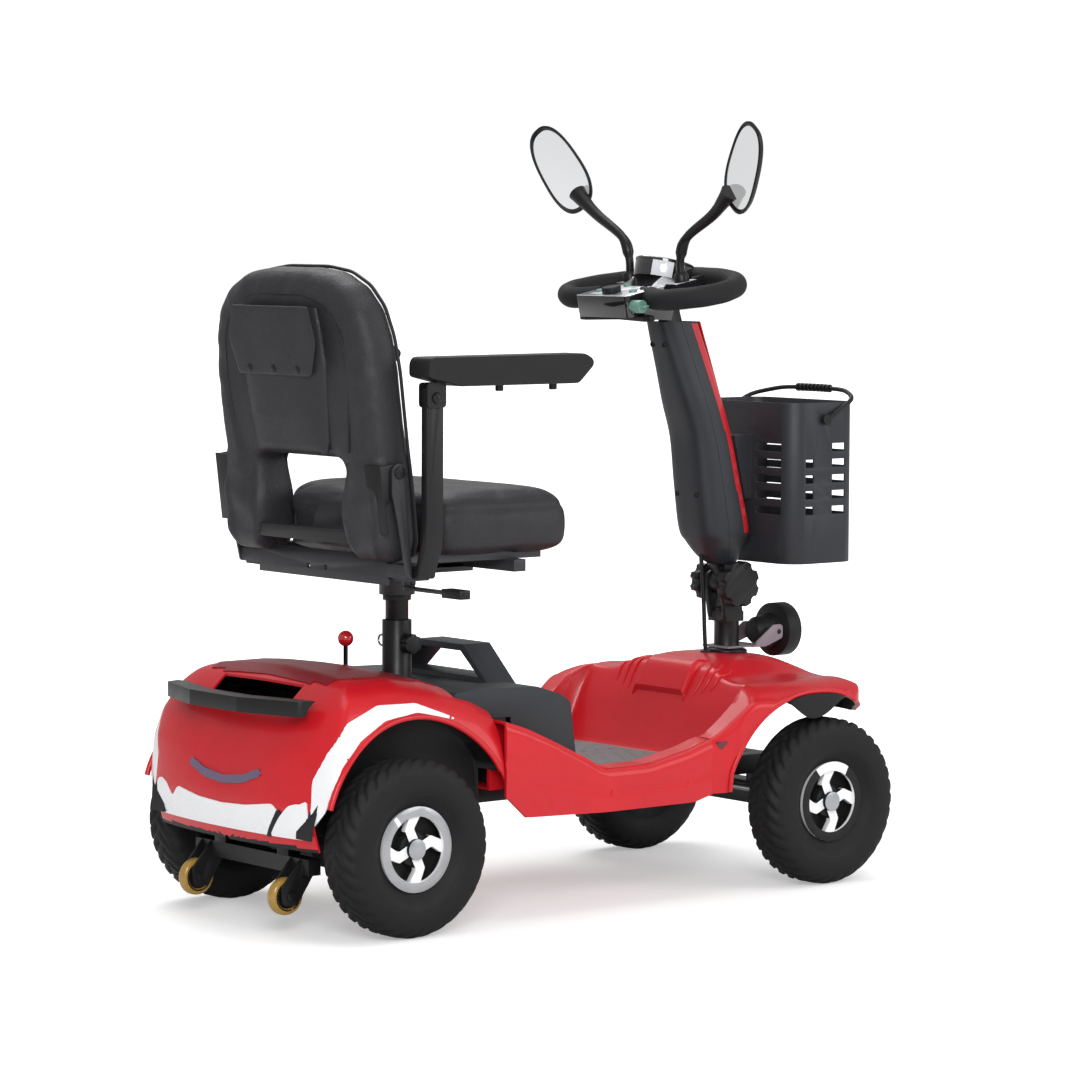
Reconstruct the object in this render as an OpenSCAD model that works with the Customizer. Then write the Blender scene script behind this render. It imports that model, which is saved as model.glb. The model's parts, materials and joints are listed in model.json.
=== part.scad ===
// Four-wheel mobility scooter. It faces -Y and stands on z = 0, with x = 0 in its middle plane.

/* [Wheels] */
// Distance between the front and rear axles
wheelbase = 812; // [760:2:900]
// How far the middle of the wheelbase lies behind the origin
axle_shift = 4; // [0:1:10]
// Distance between the tyres' middle planes
track = 448; // [430:2:480]
// Outer diameter of a tyre
tyre_d = 260; // [240:1:270]
// Width of a tyre
tyre_w = 76; // [66:1:80]
// Diameter of the rim where the tyre sits
rim_d = 122; // [110:1:140]
// Diameter of the stub axles
axle_d = 20; // [16:1:24]
// Diameter of an anti-tip roller
roller_d = 55; // [45:1:60]
// Width of an anti-tip roller
roller_w = 18; // [14:1:24]
// Height of an anti-tip roller above the ground
roller_lift = 31; // [20:1:40]
// Distance of each roller from the middle plane
roller_x = 114; // [105:1:125]
// Distance of the rollers behind the rear axle
roller_back = 135; // [125:1:145]

/* [Frame] */
// Distance of each frame rail from the middle plane
rail_x = 80; // [72:1:84]
// Section of the square frame rails
rail_s = 30; // [24:1:34]
// Height of the top of the rails
rail_top = 190; // [186:1:191]
// Wall of the frame's square tubes
tube_wall = 2.5; // [2:0.5:3]
// Radial clearance of everything that turns or slides on a shaft
run = 0.05; // [0.03:0.01:0.08]
// Gap between neighbouring covers
seam = 0.6; // [0.4:0.1:1]
// Wall of the moulded covers
wall = 3; // [2.5:0.1:4]

/* [Steering] */
// Distance of each kingpin from the middle plane
kingpin_x = 158; // [154:1:160]
// Length of the steering arms
arm_l = 70; // [60:1:80]
// Diameter of the steering column
column_d = 30; // [26:1:32]
// Height of the tiller's fold pivot
fold_z = 456; // [446:1:466]
// Distance of the fold pivot behind the column's axis
fold_back = 10; // [4:1:16]
// Diameter of the large clamp knob
knob_d = 74; // [60:1:80]
// Thickness of the large clamp knob
knob_t = 20; // [16:1:24]

/* [Steering wheel] */
// Half the width of the loop, to its tube's centre
loop_a = 172; // [160:1:185]
// Distance from the loop's middle to its front
loop_front = 108; // [95:1:120]
// Distance from the loop's middle to its back
loop_back = 80; // [74:1:88]
// Diameter of the foam grip tube
grip_d = 33; // [28:1:36]
// Tilt of the loop towards the rider, in degrees
loop_tilt = 11; // [6:1:14]
// Height of the loop's middle
loop_z = 922; // [915:1:930]
// Distance of the loop's middle ahead of the origin
loop_ahead = 232; // [228:1:236]
// Width of the console across the loop
console_w = 124; // [110:1:130]

/* [Seat] */
// Distance of the seat post behind the origin
post_y = 258; // [250:1:264]
// Diameter of the sliding seat post
post_d = 35; // [32:1:38]
// Outer diameter of the seat post socket
socket_d = 44.5; // [42:0.5:50]
// Height of the socket's top
socket_top = 434; // [420:1:440]
// Travel of the seat post in its socket
post_travel = 60; // [30:10:60]
// Height of the seat post's shoulder
post_top = 472; // [466:1:476]
// Width of the seat cushion
cushion_w = 428; // [400:2:432]
// Length of the seat cushion
cushion_l = 328; // [300:2:336]
// Distance of the cushion's back edge behind the origin
cushion_back = 400; // [390:1:405]
// Height of the cushion's underside
cushion_z = 546; // [540:1:550]
// Thickness of the seat cushion
cushion_t = 90; // [80:1:92]
// Width of the backrest
back_w = 408; // [380:2:410]
// Thickness of the backrest
back_t = 70; // [60:1:76]
// Height of the backrest's top
back_top = 966; // [940:1:980]
// Lean of the backrest, in degrees
back_lean = 7; // [4:1:9]
// Distance of each armrest from the middle plane
arm_x = 236; // [234:1:240]
// Length of an armrest pad
pad_l = 307; // [280:1:320]
// Width of an armrest pad
pad_w = 48; // [40:1:50]
// Height of the top of the armrest pads
pad_top = 838; // [825:1:845]

/* [Body] */
// Half the width of the body over its skirts
body_x = 236; // [232:1:240]
// Height of the floor under the mat
floor_z = 198; // [196:1:200]
// Distance of the footwell's front end ahead of the origin
foot_front = 212; // [190:2:214]
// Thickness of the rubber mat
mat_t = 6; // [4:1:8]
// Radius of the rear wheel arch
rear_arch_r = 176; // [170:1:178]
// Radius of the front wheel arch
front_arch_r = 170; // [166:1:172]
// Height of the battery case above the mat's level
battery_h = 138; // [125:1:140]

/* [Basket] */
// Width of the basket
basket_w = 240; // [210:2:260]
// Depth of the basket, front to back
basket_l = 144; // [130:2:150]
// Height of the basket
basket_h = 256; // [230:2:260]
// Wall of the basket
basket_wall = 3; // [2.4:0.1:4]

/* [Hidden] */
$fn = 64;

rear_y = wheelbase / 2 + axle_shift;
front_y = -wheelbase / 2 + axle_shift;
wheel_z = tyre_d / 2;
wheel_x = track / 2;
rail_z = rail_top - rail_s / 2;
rail_low = rail_top - rail_s;
clear = 0.5;

// Unit vector, and the points of a corner at b rounded to radius r in n steps
function unit(v) = v / norm(v);
function turn(a) = a > 180 ? a - 360 : a < -180 ? a + 360 : a;
function corner(a, b, c, r, n) = let (
    u = unit(a - b), v = unit(c - b), half = acos(max(-1, min(1, u * v))) / 2,
    d = min(r / tan(half), 0.48 * min(norm(a - b), norm(c - b))), k = d * tan(half),
    m = b + unit(u + v) * k / sin(half), p = b + u * d - m, q = b + v * d - m,
    from = atan2(p[1], p[0]), sweep = turn(atan2(q[1], q[0]) - from)
) r <= 0 || half > 89.5 ? [b] : [for (i = [0:n]) m + k * [cos(from + sweep * i / n), sin(from + sweep * i / n)]];
function soft(pts, r, n = 5) = let (c = len(pts)) [for (i = [0:c - 1])
    each corner(pts[(i + c - 1) % c], pts[i], pts[(i + 1) % c], is_list(r) ? r[i] : r, n)];

// A smooth curve through control points, with n steps between neighbours
function knot(p, i) = p[max(0, min(len(p) - 1, i))];
function smooth(p, n = 4) = [for (i = [0:len(p) - 2], k = [0:n - 1]) let (t = k / n, a = knot(p, i - 1),
    b = p[i], c = p[i + 1], d = knot(p, i + 2)) 0.5 * (2 * b + (c - a) * t + (2 * a - 5 * b + 4 * c - d)
    * t * t + (3 * b - a - 3 * c + d) * t * t * t), p[len(p) - 1]];

// A tube of radius r along a path; ref is never parallel to it, and a loop joins its ends
module pipe(path, r, sides = 12, ref = [0, 0, 1], loop = false) {
    c = len(path);
    rings = [for (i = [0:c - 1]) let (
        before = loop ? path[(i + c - 1) % c] : path[max(0, i - 1)],
        after = loop ? path[(i + 1) % c] : path[min(c - 1, i + 1)],
        t = unit(after - before), u = unit(cross(t, ref)), v = cross(t, u))
        each [for (k = [0:sides - 1]) path[i] + r * (u * cos(k * 360 / sides) + v * sin(k * 360 / sides))]];
    skin = [for (i = [0:loop ? c - 1 : c - 2], k = [0:sides - 1]) let (j = (i + 1) % c, m = (k + 1) % sides)
        [i * sides + k, j * sides + k, j * sides + m, i * sides + m]];
    ends = loop ? [] : [[for (k = [0:sides - 1]) k], [for (k = [sides - 1:-1:0]) (c - 1) * sides + k]];
    polyhedron(rings, concat(skin, ends), convexity = 6);
}

// A Y-Z outline made a slab from x0 to x1, an X-Z outline one from y0 to y1, and rods along an axis
module slab_x(x0, x1) translate([x0, 0, 0]) rotate([90, 0, 90]) linear_extrude(x1 - x0) children();
module slab_y(y0, y1) translate([0, y1, 0]) rotate([90, 0, 0]) linear_extrude(y1 - y0) children();
module slab_z(z0, z1) translate([0, 0, z0]) linear_extrude(z1 - z0) children();
module rod_x(x0, x1, r) translate([x0, 0, 0]) rotate([0, 90, 0]) cylinder(h = x1 - x0, r = r);
module rod_y(y0, y1, r) translate([0, y0, 0]) rotate([-90, 0, 0]) cylinder(h = y1 - y0, r = r);
module rod_z(z0, z1, r) translate([0, 0, z0]) cylinder(h = z1 - z0, r = r);
module block(x, y, z) translate([x[0], y[0], z[0]]) cube([x[1] - x[0], y[1] - y[0], z[1] - z[0]]);
module sides() { children(); mirror([1, 0, 0]) children(); }
module at_side(left) mirror([left ? 0 : 1, 0, 0]) children();

// ---- Frame ----
beam_h = [wheel_z - 20, wheel_z + 15];
arm_z = [wheel_z + 20.5, rail_low - clear];
head_top = 330;
module main_frame() color("#26262a") {
    rail_front = front_y - 20;
    rail_back = rear_y + 115;
    difference() {
        union() {
            sides() block([rail_x - rail_s / 2, rail_x + rail_s / 2], [rail_front, rail_back], [rail_low, rail_top]);
            for (y = [front_y, front_y + 190, 20, post_y, rail_back - rail_s / 2])
                block([-rail_x, rail_x], [y - rail_s / 2 - 3, y + rail_s / 2 + 3], [rail_low, rail_top]);
            translate([0, front_y, 0]) rod_z(rail_low, head_top, column_d / 2 + 9);
            translate([0, post_y, 0]) rod_z(rail_low, socket_top, socket_d / 2);
            block([-kingpin_x, kingpin_x], [front_y - 18, front_y + 18], beam_h);
            sides() block([rail_x - rail_s / 2, rail_x + rail_s / 2], [front_y - 18, front_y + 18],
                [beam_h[1], rail_low]);
            sides() translate([kingpin_x, front_y, 0]) rod_z(beam_h[0], arm_z[0] - clear, 19);
            translate([rail_x, lever_y, rail_top + 8]) rod_x(-14, -6, 10);
            block([rail_x - 14, rail_x - 6], [lever_y - 10, lever_y + 10], [rail_top - 1, rail_top + 8]);
        }
        sides() block([rail_x - rail_s / 2 + tube_wall, rail_x + rail_s / 2 - tube_wall],
            [front_y + 30, rail_back - tube_wall], [rail_low + tube_wall, rail_top - tube_wall]);
        translate([0, lever_y, rail_top + 8]) rod_x(0, rail_x, 5 + run);
        translate([0, front_y, 0]) rod_z(0, head_top + 1, column_d / 2 + run);
        block([-arm_l, arm_l], [front_y - 30, front_y + 30], [beam_h[1], rail_low]);
        translate([0, post_y, 0]) rod_z(0, socket_top + 1, post_d / 2 + run);
        sides() translate([kingpin_x, front_y, 0]) rod_z(0, 400, 8 + run);
        translate([0, post_y, pin_z]) rod_x(-60, 60, pin_r + run);
    }
}

// ---- Rear drive ----
module transaxle() color("#3c3d40") {
    tube_r = 19;
    translate([0, rear_y, wheel_z]) {
        rod_x(-55, 55, 52);
        rod_x(-wheel_x + 46, wheel_x - 46, tube_r);
        rod_x(-wheel_x - 22, wheel_x + 22, axle_d / 2);
        rod_y(-122, -40, 40);
        rod_y(-129, -122, 28);
    }
    sides() block([rail_x - rail_s / 2, rail_x + rail_s / 2], [rear_y - 22, rear_y + 22], [wheel_z, rail_low]);
}

module controller() color("#55585c") {
    box_y = rear_y + 25;
    block([-rail_x - 15, rail_x + 15], [box_y, box_y + 88], [rail_top, rail_top + 6]);
    for (k = [-3:3])
        block([k * 18 - 5, k * 18 + 5], [box_y + 4, box_y + 84], [rail_top + 6, rail_top + 40]);
    block([-68, 68], [box_y + 4, box_y + 84], [rail_top + 6, rail_top + 28]);
}

// ---- Anti-tip rollers ----
roller_y = rear_y + roller_back;
roller_z = roller_lift + roller_d / 2;
cheek = 4;
module anti_tip_brackets() color("#1d1d20") {
    bar_y = roller_y - 42;
    block([-roller_x - 30, roller_x + 30], [bar_y, bar_y + 22], [roller_z + 30, roller_z + 54]);
    sides() {
        block([rail_x - 14, rail_x + 14], [bar_y, bar_y + 22], [roller_z + 54, rail_low]);
        difference() {
            for (s = [-1, 1]) slab_x(roller_x + s * (roller_w / 2 + cheek / 2 + clear) - cheek / 2,
                roller_x + s * (roller_w / 2 + cheek / 2 + clear) + cheek / 2)
                polygon(soft([[bar_y, roller_z + 54], [bar_y + 22, roller_z + 54],
                    [roller_y + 15, roller_z + 14], [roller_y + 13, roller_z - 13],
                    [roller_y - 13, roller_z - 13], [bar_y, roller_z + 30]], 8, 3));
            translate([0, roller_y, roller_z]) rod_x(0, 200, 4);
        }
        translate([0, roller_y, roller_z]) {
            rod_x(roller_x - roller_w / 2 - cheek - 2, roller_x + roller_w / 2 + cheek + 2, 4);
            for (s = [-1, 1]) translate([roller_x + s * (roller_w / 2 + cheek + clear + 2), 0, 0])
                rod_x(-2, 2, 7);
        }
    }
}
module roller(left) color("#c39a2c") at_side(left) translate([roller_x, roller_y, roller_z])
    difference() {
        rotate([0, 90, 0]) rotate_extrude() polygon(soft([[4 + run, -roller_w / 2],
            [roller_d / 2, -roller_w / 2], [roller_d / 2, roller_w / 2], [4 + run, roller_w / 2]], [0, 6, 6, 0]));
        for (s = [-1, 1]) translate([s * (roller_w / 2 - 1), 0, 0]) difference() {
            rod_x(-2, 2, roller_d / 2 - 9);
            rod_x(-3, 3, 8);
        }
    }

// ---- Wheels ----
module tyre(left, y) color("#26282b") at_side(left) translate([wheel_x, y, wheel_z]) rotate([0, 90, 0]) {
    h = tyre_w / 2;
    r = tyre_d / 2;
    rotate_extrude($fn = 96) difference() {
        polygon(soft([[rim_d / 2, -h * 0.55], [rim_d / 2 + 16, -h * 0.9], [r * 0.72, -h], [r * 0.88, -h * 0.96],
            [r, -h * 0.62], [r, h * 0.62], [r * 0.88, h * 0.96], [r * 0.72, h], [rim_d / 2 + 16, h * 0.9],
            [rim_d / 2, h * 0.55]], 8, 3));
        translate([rim_d / 2 + (r - rim_d / 2) * 0.45, 0]) circle(r = tyre_w * 0.33);
    }
    for (a = [0:15:345]) rotate([0, 0, a]) for (s = [-1, 1])
        translate([r - 1.5, 0, s * h * 0.3]) rotate([s * 25, 0, 0]) cube([3, 8, h * 0.5], center = true);
}
module rim(left, y) color("#e8e9ea") at_side(left) translate([wheel_x, y, wheel_z]) {
    r = rim_d / 2;
    face = tyre_w * 0.36;
    difference() {
        union() {
            rotate([0, 90, 0]) rotate_extrude($fn = 96) polygon([[r - 6, -20], [r, -20], [r, face - 6],
                [r + 1.5, face], [r - 13, face], [r - 13, face - 5], [r - 6, face - 9]]);
            rod_x(-26, face - 9, 24);
            rod_x(-3, 3, r - 3);
            for (k = [0:3]) rotate([k * 90, 0, 0]) slab_x(face - 14, face - 5) polygon(soft([[-9, 8], [10, 10],
                [18, 28], [8, r - 8], [-14, r - 6], [2, 30]], 5, 3));
        }
        rod_x(-60, 60, axle_d / 2 + run);
    }
    difference() {
        rod_x(face - 9, face + 1, 15);
        rod_x(face - 10, face + 1 - 3, axle_d / 2 + clear);
    }
}

// ---- Front steering ----
stub_x = wheel_x - kingpin_x;
module knuckle(left) color("#303236") at_side(left) translate([kingpin_x, front_y, 0]) difference() {
    union() {
        rod_z(beam_h[0] - 12, arm_z[1], 8);
        rod_z(arm_z[0], arm_z[1], 17);
        rod_z(beam_h[0] - 9 - clear, beam_h[0] - clear, 17);
        block([0, 26], [-17, 17], arm_z);
        block([0, 26], [-17, 17], [beam_h[0] - 9 - clear, beam_h[0] - clear]);
        block([20, 27], [-17, 17], [beam_h[0] - 9 - clear, arm_z[1]]);
        block([-7, 7], [0, arm_l], arm_z);
        translate([0, arm_l, 0]) rod_z(arm_z[0], arm_z[1], 10);
        translate([0, 0, wheel_z]) rod_x(26, stub_x + 22, axle_d / 2);
    }
    translate([0, arm_l, 0]) rod_z(arm_z[0] - 1, arm_z[1] + 1, 5 + run);
}
module tie_rod() color("#8c9095") translate([0, front_y + arm_l, 0]) {
    for (x = [-kingpin_x, 0, kingpin_x]) translate([x, 0, 0]) {
        rod_z(arm_z[0] - 12, arm_z[0] - clear, 9);
        rod_z(arm_z[0] - clear, arm_z[1] - 1, 5);
    }
    translate([0, 0, arm_z[0] - 6]) rod_x(-kingpin_x, kingpin_x, 5);
}

collar_z = 352;
fold_y = front_y + fold_back;
fold_r = 19;
module steering_column() color("#2b2d31") difference() {
    union() {
        translate([0, front_y, 0]) {
            rod_z(arm_z[0], fold_z - 50, column_d / 2);
            rod_z(head_top + clear, collar_z, column_d / 2 + 11);
            rod_z(collar_z, fold_z - 40, column_d / 2 + 5);
            block([-9, 9], [0, arm_l], arm_z);
            translate([0, arm_l, 0]) rod_z(arm_z[0], arm_z[1], 11);
        }
        sides() slab_x(fork_in, fork_out) polygon(soft([[front_y - 17, fold_z - 62], [front_y + 20, fold_z - 62],
            [fold_y + fold_r, fold_z - 8], [fold_y + fold_r, fold_z + fold_r], [fold_y - fold_r, fold_z + fold_r],
            [fold_y - fold_r, fold_z - 8]], 12, 4));
        block([-fork_out, fork_out], [front_y - 17, front_y + 20], [fold_z - 62, fold_z - 46]);
    }
    translate([0, front_y + arm_l, 0]) rod_z(arm_z[0] - 1, arm_z[1] + 1, 5 + run);
    translate([0, fold_y, fold_z]) rod_x(-60, 60, bolt_r + run);
}
fork_in = 14;
fork_out = 22;
bolt_r = 6;

// ---- Tiller ----
rear_line = [[fold_y + 2, fold_z + 26], [-343, 500], [-323, 543], [-303, 686], [-243, 872]];
front_line = [[-320, 884], [-385, 700], [-424, 545], [-420, 512], [fold_y - 26, fold_z + 20]];
// The line half way through the tiller, where its two covers meet
mid_line = [[fold_y - 14, fold_z + 16], [-378, 512], [-366, 543], [-338, 693], [-276, 878]];
tiller_w = [[15, 440], [24, 500], [46, 545], [45, 620], [42, 745], [30, 840], [27, 900]];
function mirrored(p) = concat(p, [for (i = [len(p) - 1:-1:0]) [-p[i][0], p[i][1]]]);
module tiller_outline(inset) polygon(mirrored([for (p = tiller_w) [p[0] - inset, p[1]]]));
module tiller_mast() color("#3a3c40") difference() {
    union() {
        translate([0, fold_y, fold_z]) rod_x(-fork_in + clear, fork_in - clear, fold_r - 1);
        slab_x(-10, 10) polygon([[fold_y - 12, fold_z], [fold_y + 8, fold_z + 6], [-340, 545], [-322, 686],
            [-262.7, 868], [-262.7, 884], [-269.4, 906], [-276, 907.2], [-290, 892], [-352, 690], [-384, 545]]);
    }
    translate([0, fold_y, fold_z]) rod_x(-60, 60, bolt_r + run);
}
module half_cover(line, tone) color(tone) difference() {
    intersection() {
        slab_x(-60, 60) polygon(line);
        slab_y(-500, 0) tiller_outline(0);
    }
    slab_y(-500, 0) tiller_outline(wall + 4);
}
module tiller_rear_cover() {
    half_cover(concat(rear_line, [for (i = [4:-1:1]) mid_line[i] + [seam / 2, 0]]), "#45474c");
    color("#45474c") intersection() {
        slab_x(-41, 41) polygon([[-343, 506], [-323, 543], [-303, 686], [-243, 872], [-243 - wall, 872],
            [-303 - wall, 686], [-323 - wall, 543], [-343 - wall, 510]]);
        slab_y(-500, 0) tiller_outline(wall + 2);
    }
}
module tiller_front_cover() {
    half_cover(concat([for (i = [1:4]) mid_line[i] - [seam / 2, 0]], [for (i = [0:3]) front_line[i]]), "#2e3036");
    color("#2e3036") intersection() {
        slab_x(-41, 41) polygon([[-320, 884], [-385, 700], [-424, 545], [-424 + wall, 545], [-385 + wall, 700],
            [-320 + wall, 884]]);
        slab_y(-500, 0) tiller_outline(wall + 2);
    }
}
module tiller_strip() color("#c11f2b") slab_x(-24, 24) polygon([[-321.5, 882], [-386, 700], [-425, 545],
    [-431, 545], [-393, 702], [-328, 884]]);

// ---- Steering wheel, console and controls ----
module on_loop() translate([0, -loop_ahead, loop_z]) rotate([-loop_tilt, 0, 0]) children();
// The loop is flattened at the back and dips forward by loop_dip to meet the console's sides
loop_dip = 55;
loop_path = [for (i = [0:71]) let (a = i * 5, x = loop_a * cos(a), q = max(0, 1 - x * x / 14400))
    [x, sin(a) > 0 ? loop_back * sin(a) - loop_dip * q * q : loop_front * sin(a), 0]];
key_y = 84;
module steering_wheel() color("#303033") on_loop() difference() {
    pipe(loop_path, grip_d / 2, 14, loop = true);
    block([-console_w / 2 - 0.3, console_w / 2 + 0.3], [-20, loop_back + 60], [-60, 60]);
    for (s = [-1, 1]) block([s * 24 - 9, s * 24 + 9], [-loop_front - 9, -loop_front + 60], [-60, 60]);
}
module console() color("#dadde0") on_loop() difference() {
    union() {
        slab_z(-22, 12) polygon(soft([[-console_w / 2, loop_back + 16], [-console_w / 2, 16], [-46, 0],
            [-40, -40], [40, -40], [46, 0], [console_w / 2, 16], [console_w / 2, loop_back + 16]], 7, 3));
        slab_x(-34, 34) polygon([[-40, -22], [20, -22], [20, 12], [-30, 34], [-62, 26], [-62, -10]]);
        for (s = [-1, 1]) block([s * 24 - 8, s * 24 + 8], [-loop_front - 8, -40], [-10, 8]);
        translate([0, -38, 24]) rotate([24, 0, 0]) rod_z(-14, 12, 46);
        sides() translate([0, 0, 0]) slab_y(-40, 0) polygon([[30, -6], [74, -6], [74, 12], [30, 12]]);
        slab_x(-26, 26) polygon([[-18, -50], [24, -40], [24, -20], [-34, -20]]);
    }
    translate([-console_w / 2 + 6, key_y, -6]) rod_x(-20, 20, key_r + run);
    translate([0, loop_back - 8, 0]) rod_z(0, 40, dial_r + run + 2);
    translate([0, 40, 0]) rod_z(-40, -16, 4 + run);
    for (s = [-1, 1]) translate([s * 62, -20, 0]) rod_z(-2, 40, mirror_r + run);
}
key_r = 6;
dial_r = 12;
mirror_r = 7;
lever_z = [-32, -24];
module ignition_key() color("#5b8f7a") on_loop() translate([-console_w / 2 + 6, key_y, -6]) {
    rod_x(-20, 19, key_r);
    rod_x(-28, -6 - clear, 10);
    block([-38, -26], [-5, 5], [-1.5, 1.5]);
}
module speed_dial() color("#2a2a2d") on_loop() translate([0, loop_back - 8, 0]) {
    rod_z(0.5, 12, dial_r);
    rod_z(12 + clear, 22, dial_r + 3);
    rod_z(12, 12 + clear, dial_r - 2);
}
module throttle_lever() color("#1c1c1f") on_loop() difference() {
    translate([0, 40, 0]) union() {
        slab_z(lever_z[0], lever_z[1]) polygon(soft([[-14, -12], [14, -12], [20, 10], [86, 24], [88, 34], [70, 36],
            [0, 26], [-70, 36], [-88, 34], [-86, 24], [-20, 10]], 5, 3));
        rod_z(lever_z[1], -22 - clear, 10);
        rod_z(-30, -17, 4);
    }
    translate([0, 40, 0]) rod_z(-60, -33, 1);
}
module tilt_lock_knobs() color("#2b2d31") translate([0, fold_y, fold_z]) {
    rod_x(-fork_out - 8, fork_out + 8, bolt_r);
    for (s = [[-1, knob_d / 2, knob_t], [1, knob_d * 0.4, knob_t - 2]]) {
        scallop(s[0], s[1], s[2]);
        translate([s[0] * (fork_out + 3 + clear), 0, 0]) rod_x(-3, 3, 13);
    }
}
module scallop(s, r, t) difference() {
    translate([s * (fork_out + 6 + t / 2), 0, 0]) rod_x(-t / 2, t / 2, r);
    for (a = [0:45:315]) translate([s * (fork_out + 6 + t / 2), (r + 3) * cos(a), (r + 3) * sin(a)])
        rod_x(-t, t, 8);
}

// ---- Mirrors ----
mirror_tilt = 12;
stalk = [[62, -248, 944], [62, -246, 974], [78, -245, 1006], [140, -244, 1056], [168, -243, 1078]];
glass_mid = [208, -236, 1124];
module rear_mirror(left) at_side(left) {
    color("#1f2023") {
        pipe(smooth(stalk, 4), mirror_r - 0.8, 10, [0, 1, 0]);
        on_loop() translate([62, -20, 0]) {
            rod_z(-1.5, 14, mirror_r);
            rod_z(12 + clear, 26, 12);
        }
        mirror_plate(-9, 0, 1);
    }
    color("#cfd6da") mirror_plate(0.2, 2, 0.9);
}
module mirror_plate(y0, y1, k) translate(glass_mid) rotate([-6, 0, mirror_tilt]) slab_y(y0, y1) scale(k)
    rotate(-38) polygon(soft([[-22, -76], [20, -76], [44, -20], [42, 40], [20, 70], [-20, 70], [-42, 40],
        [-44, -20]], 22, 4));

// ---- Basket ----
basket_back = -432;
basket_low = 489;
basket_front = basket_back - basket_l;
bail_y = basket_back - 68;
bail_z = basket_low + basket_h - 27;
function ring_plan(inset, r) = soft([[-basket_w / 2 + inset, basket_back - inset],
    [basket_w / 2 - inset, basket_back - inset], [basket_w / 2 - inset, basket_front + inset],
    [-basket_w / 2 + inset, basket_front + inset]], r - inset, 6);
module basket() color("#2d3036") difference() {
    union() {
        slab_z(basket_low, basket_low + basket_h) polygon(ring_plan(0, 36));
        slab_x(-22, 22) polygon([[basket_back - 1, 590], [-420.6, 590], [-397.6, 685], [-397.6, 692],
            [basket_back - 1, 692]]);
    }
    slab_z(basket_low + basket_wall, basket_low + basket_h + 1) polygon(ring_plan(basket_wall, 36));
    for (k = [0:4]) {
        z = basket_low + 78 + k * 25;
        for (x = [-70, 0, 70]) block([x - 26, x + 26], [basket_front - 5, basket_front + 20], [z, z + 13]);
        sides() block([basket_w / 2 - 20, basket_w / 2 + 5], [basket_front + 30, basket_front + 58], [z, z + 13]);
        sides() block([34, 92], [basket_back - 8, basket_back + 4], [z, z + 13]);
        if (k < 4) sides() block([basket_w / 2 - 20, basket_w / 2 + 5], [basket_back - 46, basket_back - 30], [z, z + 13]);
    }
    sides() translate([0, bail_y, bail_z]) rod_x(basket_w / 2 - 10, basket_w / 2 + 10, 4 + run);
}
bail_out = basket_w / 2 + 4;
bail_path = [[bail_out, bail_y, bail_z], [bail_out, bail_y - 30, bail_z + 16], [bail_out - 4, bail_y - 58, bail_z + 31],
    [bail_out - 34, bail_y - 78, bail_z + 40], [60, bail_y - 86, bail_z + 44], [0, bail_y - 88, bail_z + 45]];
module basket_handle() color("#232427") {
    left = smooth(bail_path, 3);
    pipe(concat(left, [for (i = [len(left) - 2:-1:0]) [-left[i][0], left[i][1], left[i][2]]]), 3.7, 10);
    for (x = [-36:9:36]) translate([x, bail_y - 88 + x * x / 1800, bail_z + 45 - x * x / 3600]) rod_x(-2.2, 2.2, 6.5);
    sides() translate([0, bail_y, bail_z]) {
        rod_x(basket_w / 2 - 8, bail_out, 4);
        rod_x(basket_w / 2 + clear, bail_out + 3.5, 8);
    }
}

// ---- Headlamp ----
lamp_r = 43;
lamp = [0, -482, 374];
module headlamp_bracket() color("#8d7a86") {
    difference() {
        block([-31, 31], [front_y - 52, front_y + 24], [collar_z, collar_z + 3]);
        translate([0, front_y, 0]) rod_z(300, 400, column_d / 2 + 5);
    }
    difference() {
        sides() slab_x(34.5, 37.5) polygon(soft([[front_y - 20, collar_z], [front_y - 52, collar_z],
            [lamp[1] - 8, lamp[2] - 10], [lamp[1] - 8, lamp[2] + 12], [lamp[1] + 12, lamp[2] + 12]], 6, 3));
        translate([0, lamp[1], lamp[2]]) rod_x(-60, 60, 4 + run);
    }
    sides() block([30, 37.5], [front_y - 50, front_y - 24], [collar_z, collar_z + 3]);
}
module headlamp() {
    color("#1a1b1e") translate(lamp) {
        difference() {
            rotate([90, 0, 0]) rotate_extrude() polygon([[0, -26], [16, -26], [22, -18], [27, 14], [lamp_r, 18],
                [lamp_r, 44], [lamp_r - 4, 44], [lamp_r - 4, 34], [0, 34]]);
            for (a = [0:30:330]) rotate([0, a, 0]) block([24, 27.5], [-8, 8], [-2.5, 2.5]);
        }
        rod_x(-37.5, 37.5, 4);
    }
    color("#dfe8ee") translate(lamp) rotate([90, 0, 0]) rotate_extrude() polygon([[0, 34], [lamp_r - 4, 34],
        [lamp_r - 4, 40], [24, 44], [0, 46]]);
}

// ---- Body ----
step_z = floor_z + mat_t;
arch_front_y = front_y + 40;
arch_front_z = 134;
arch_rear_y = rear_y - 20;
arch_rear_z = 148;
split_y = -166;
rear_split = 236;
top_edge = [[rear_split, 300], [193, 286], [84, 236], [45, 214], [-40, 214], [-119, 229], [split_y + seam, 243]];
low_edge = [[split_y + seam, 160], [-131, 151], [47, 151], [198, 156], [rear_split, 190]];
module centre_body() color("#d8242f") {
    sides() {
        slab_x(body_x - wall, body_x) polygon(concat(top_edge, low_edge));
        slab_x(battery_x + 4, body_x - wall) polygon(concat(top_edge, [for (i = [6:-1:0]) top_edge[i] - [0, wall]]));
        slab_x(battery_x + 4, battery_x + 4 + wall) polygon(concat(top_edge, [[split_y + seam, floor_z - wall],
            [rear_split, floor_z - wall]]));
    }
    block([-battery_x - 4, battery_x + 4], [split_y + seam, rear_split - 2], [floor_z - wall, floor_z]);
}
battery_x = 190;
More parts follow.
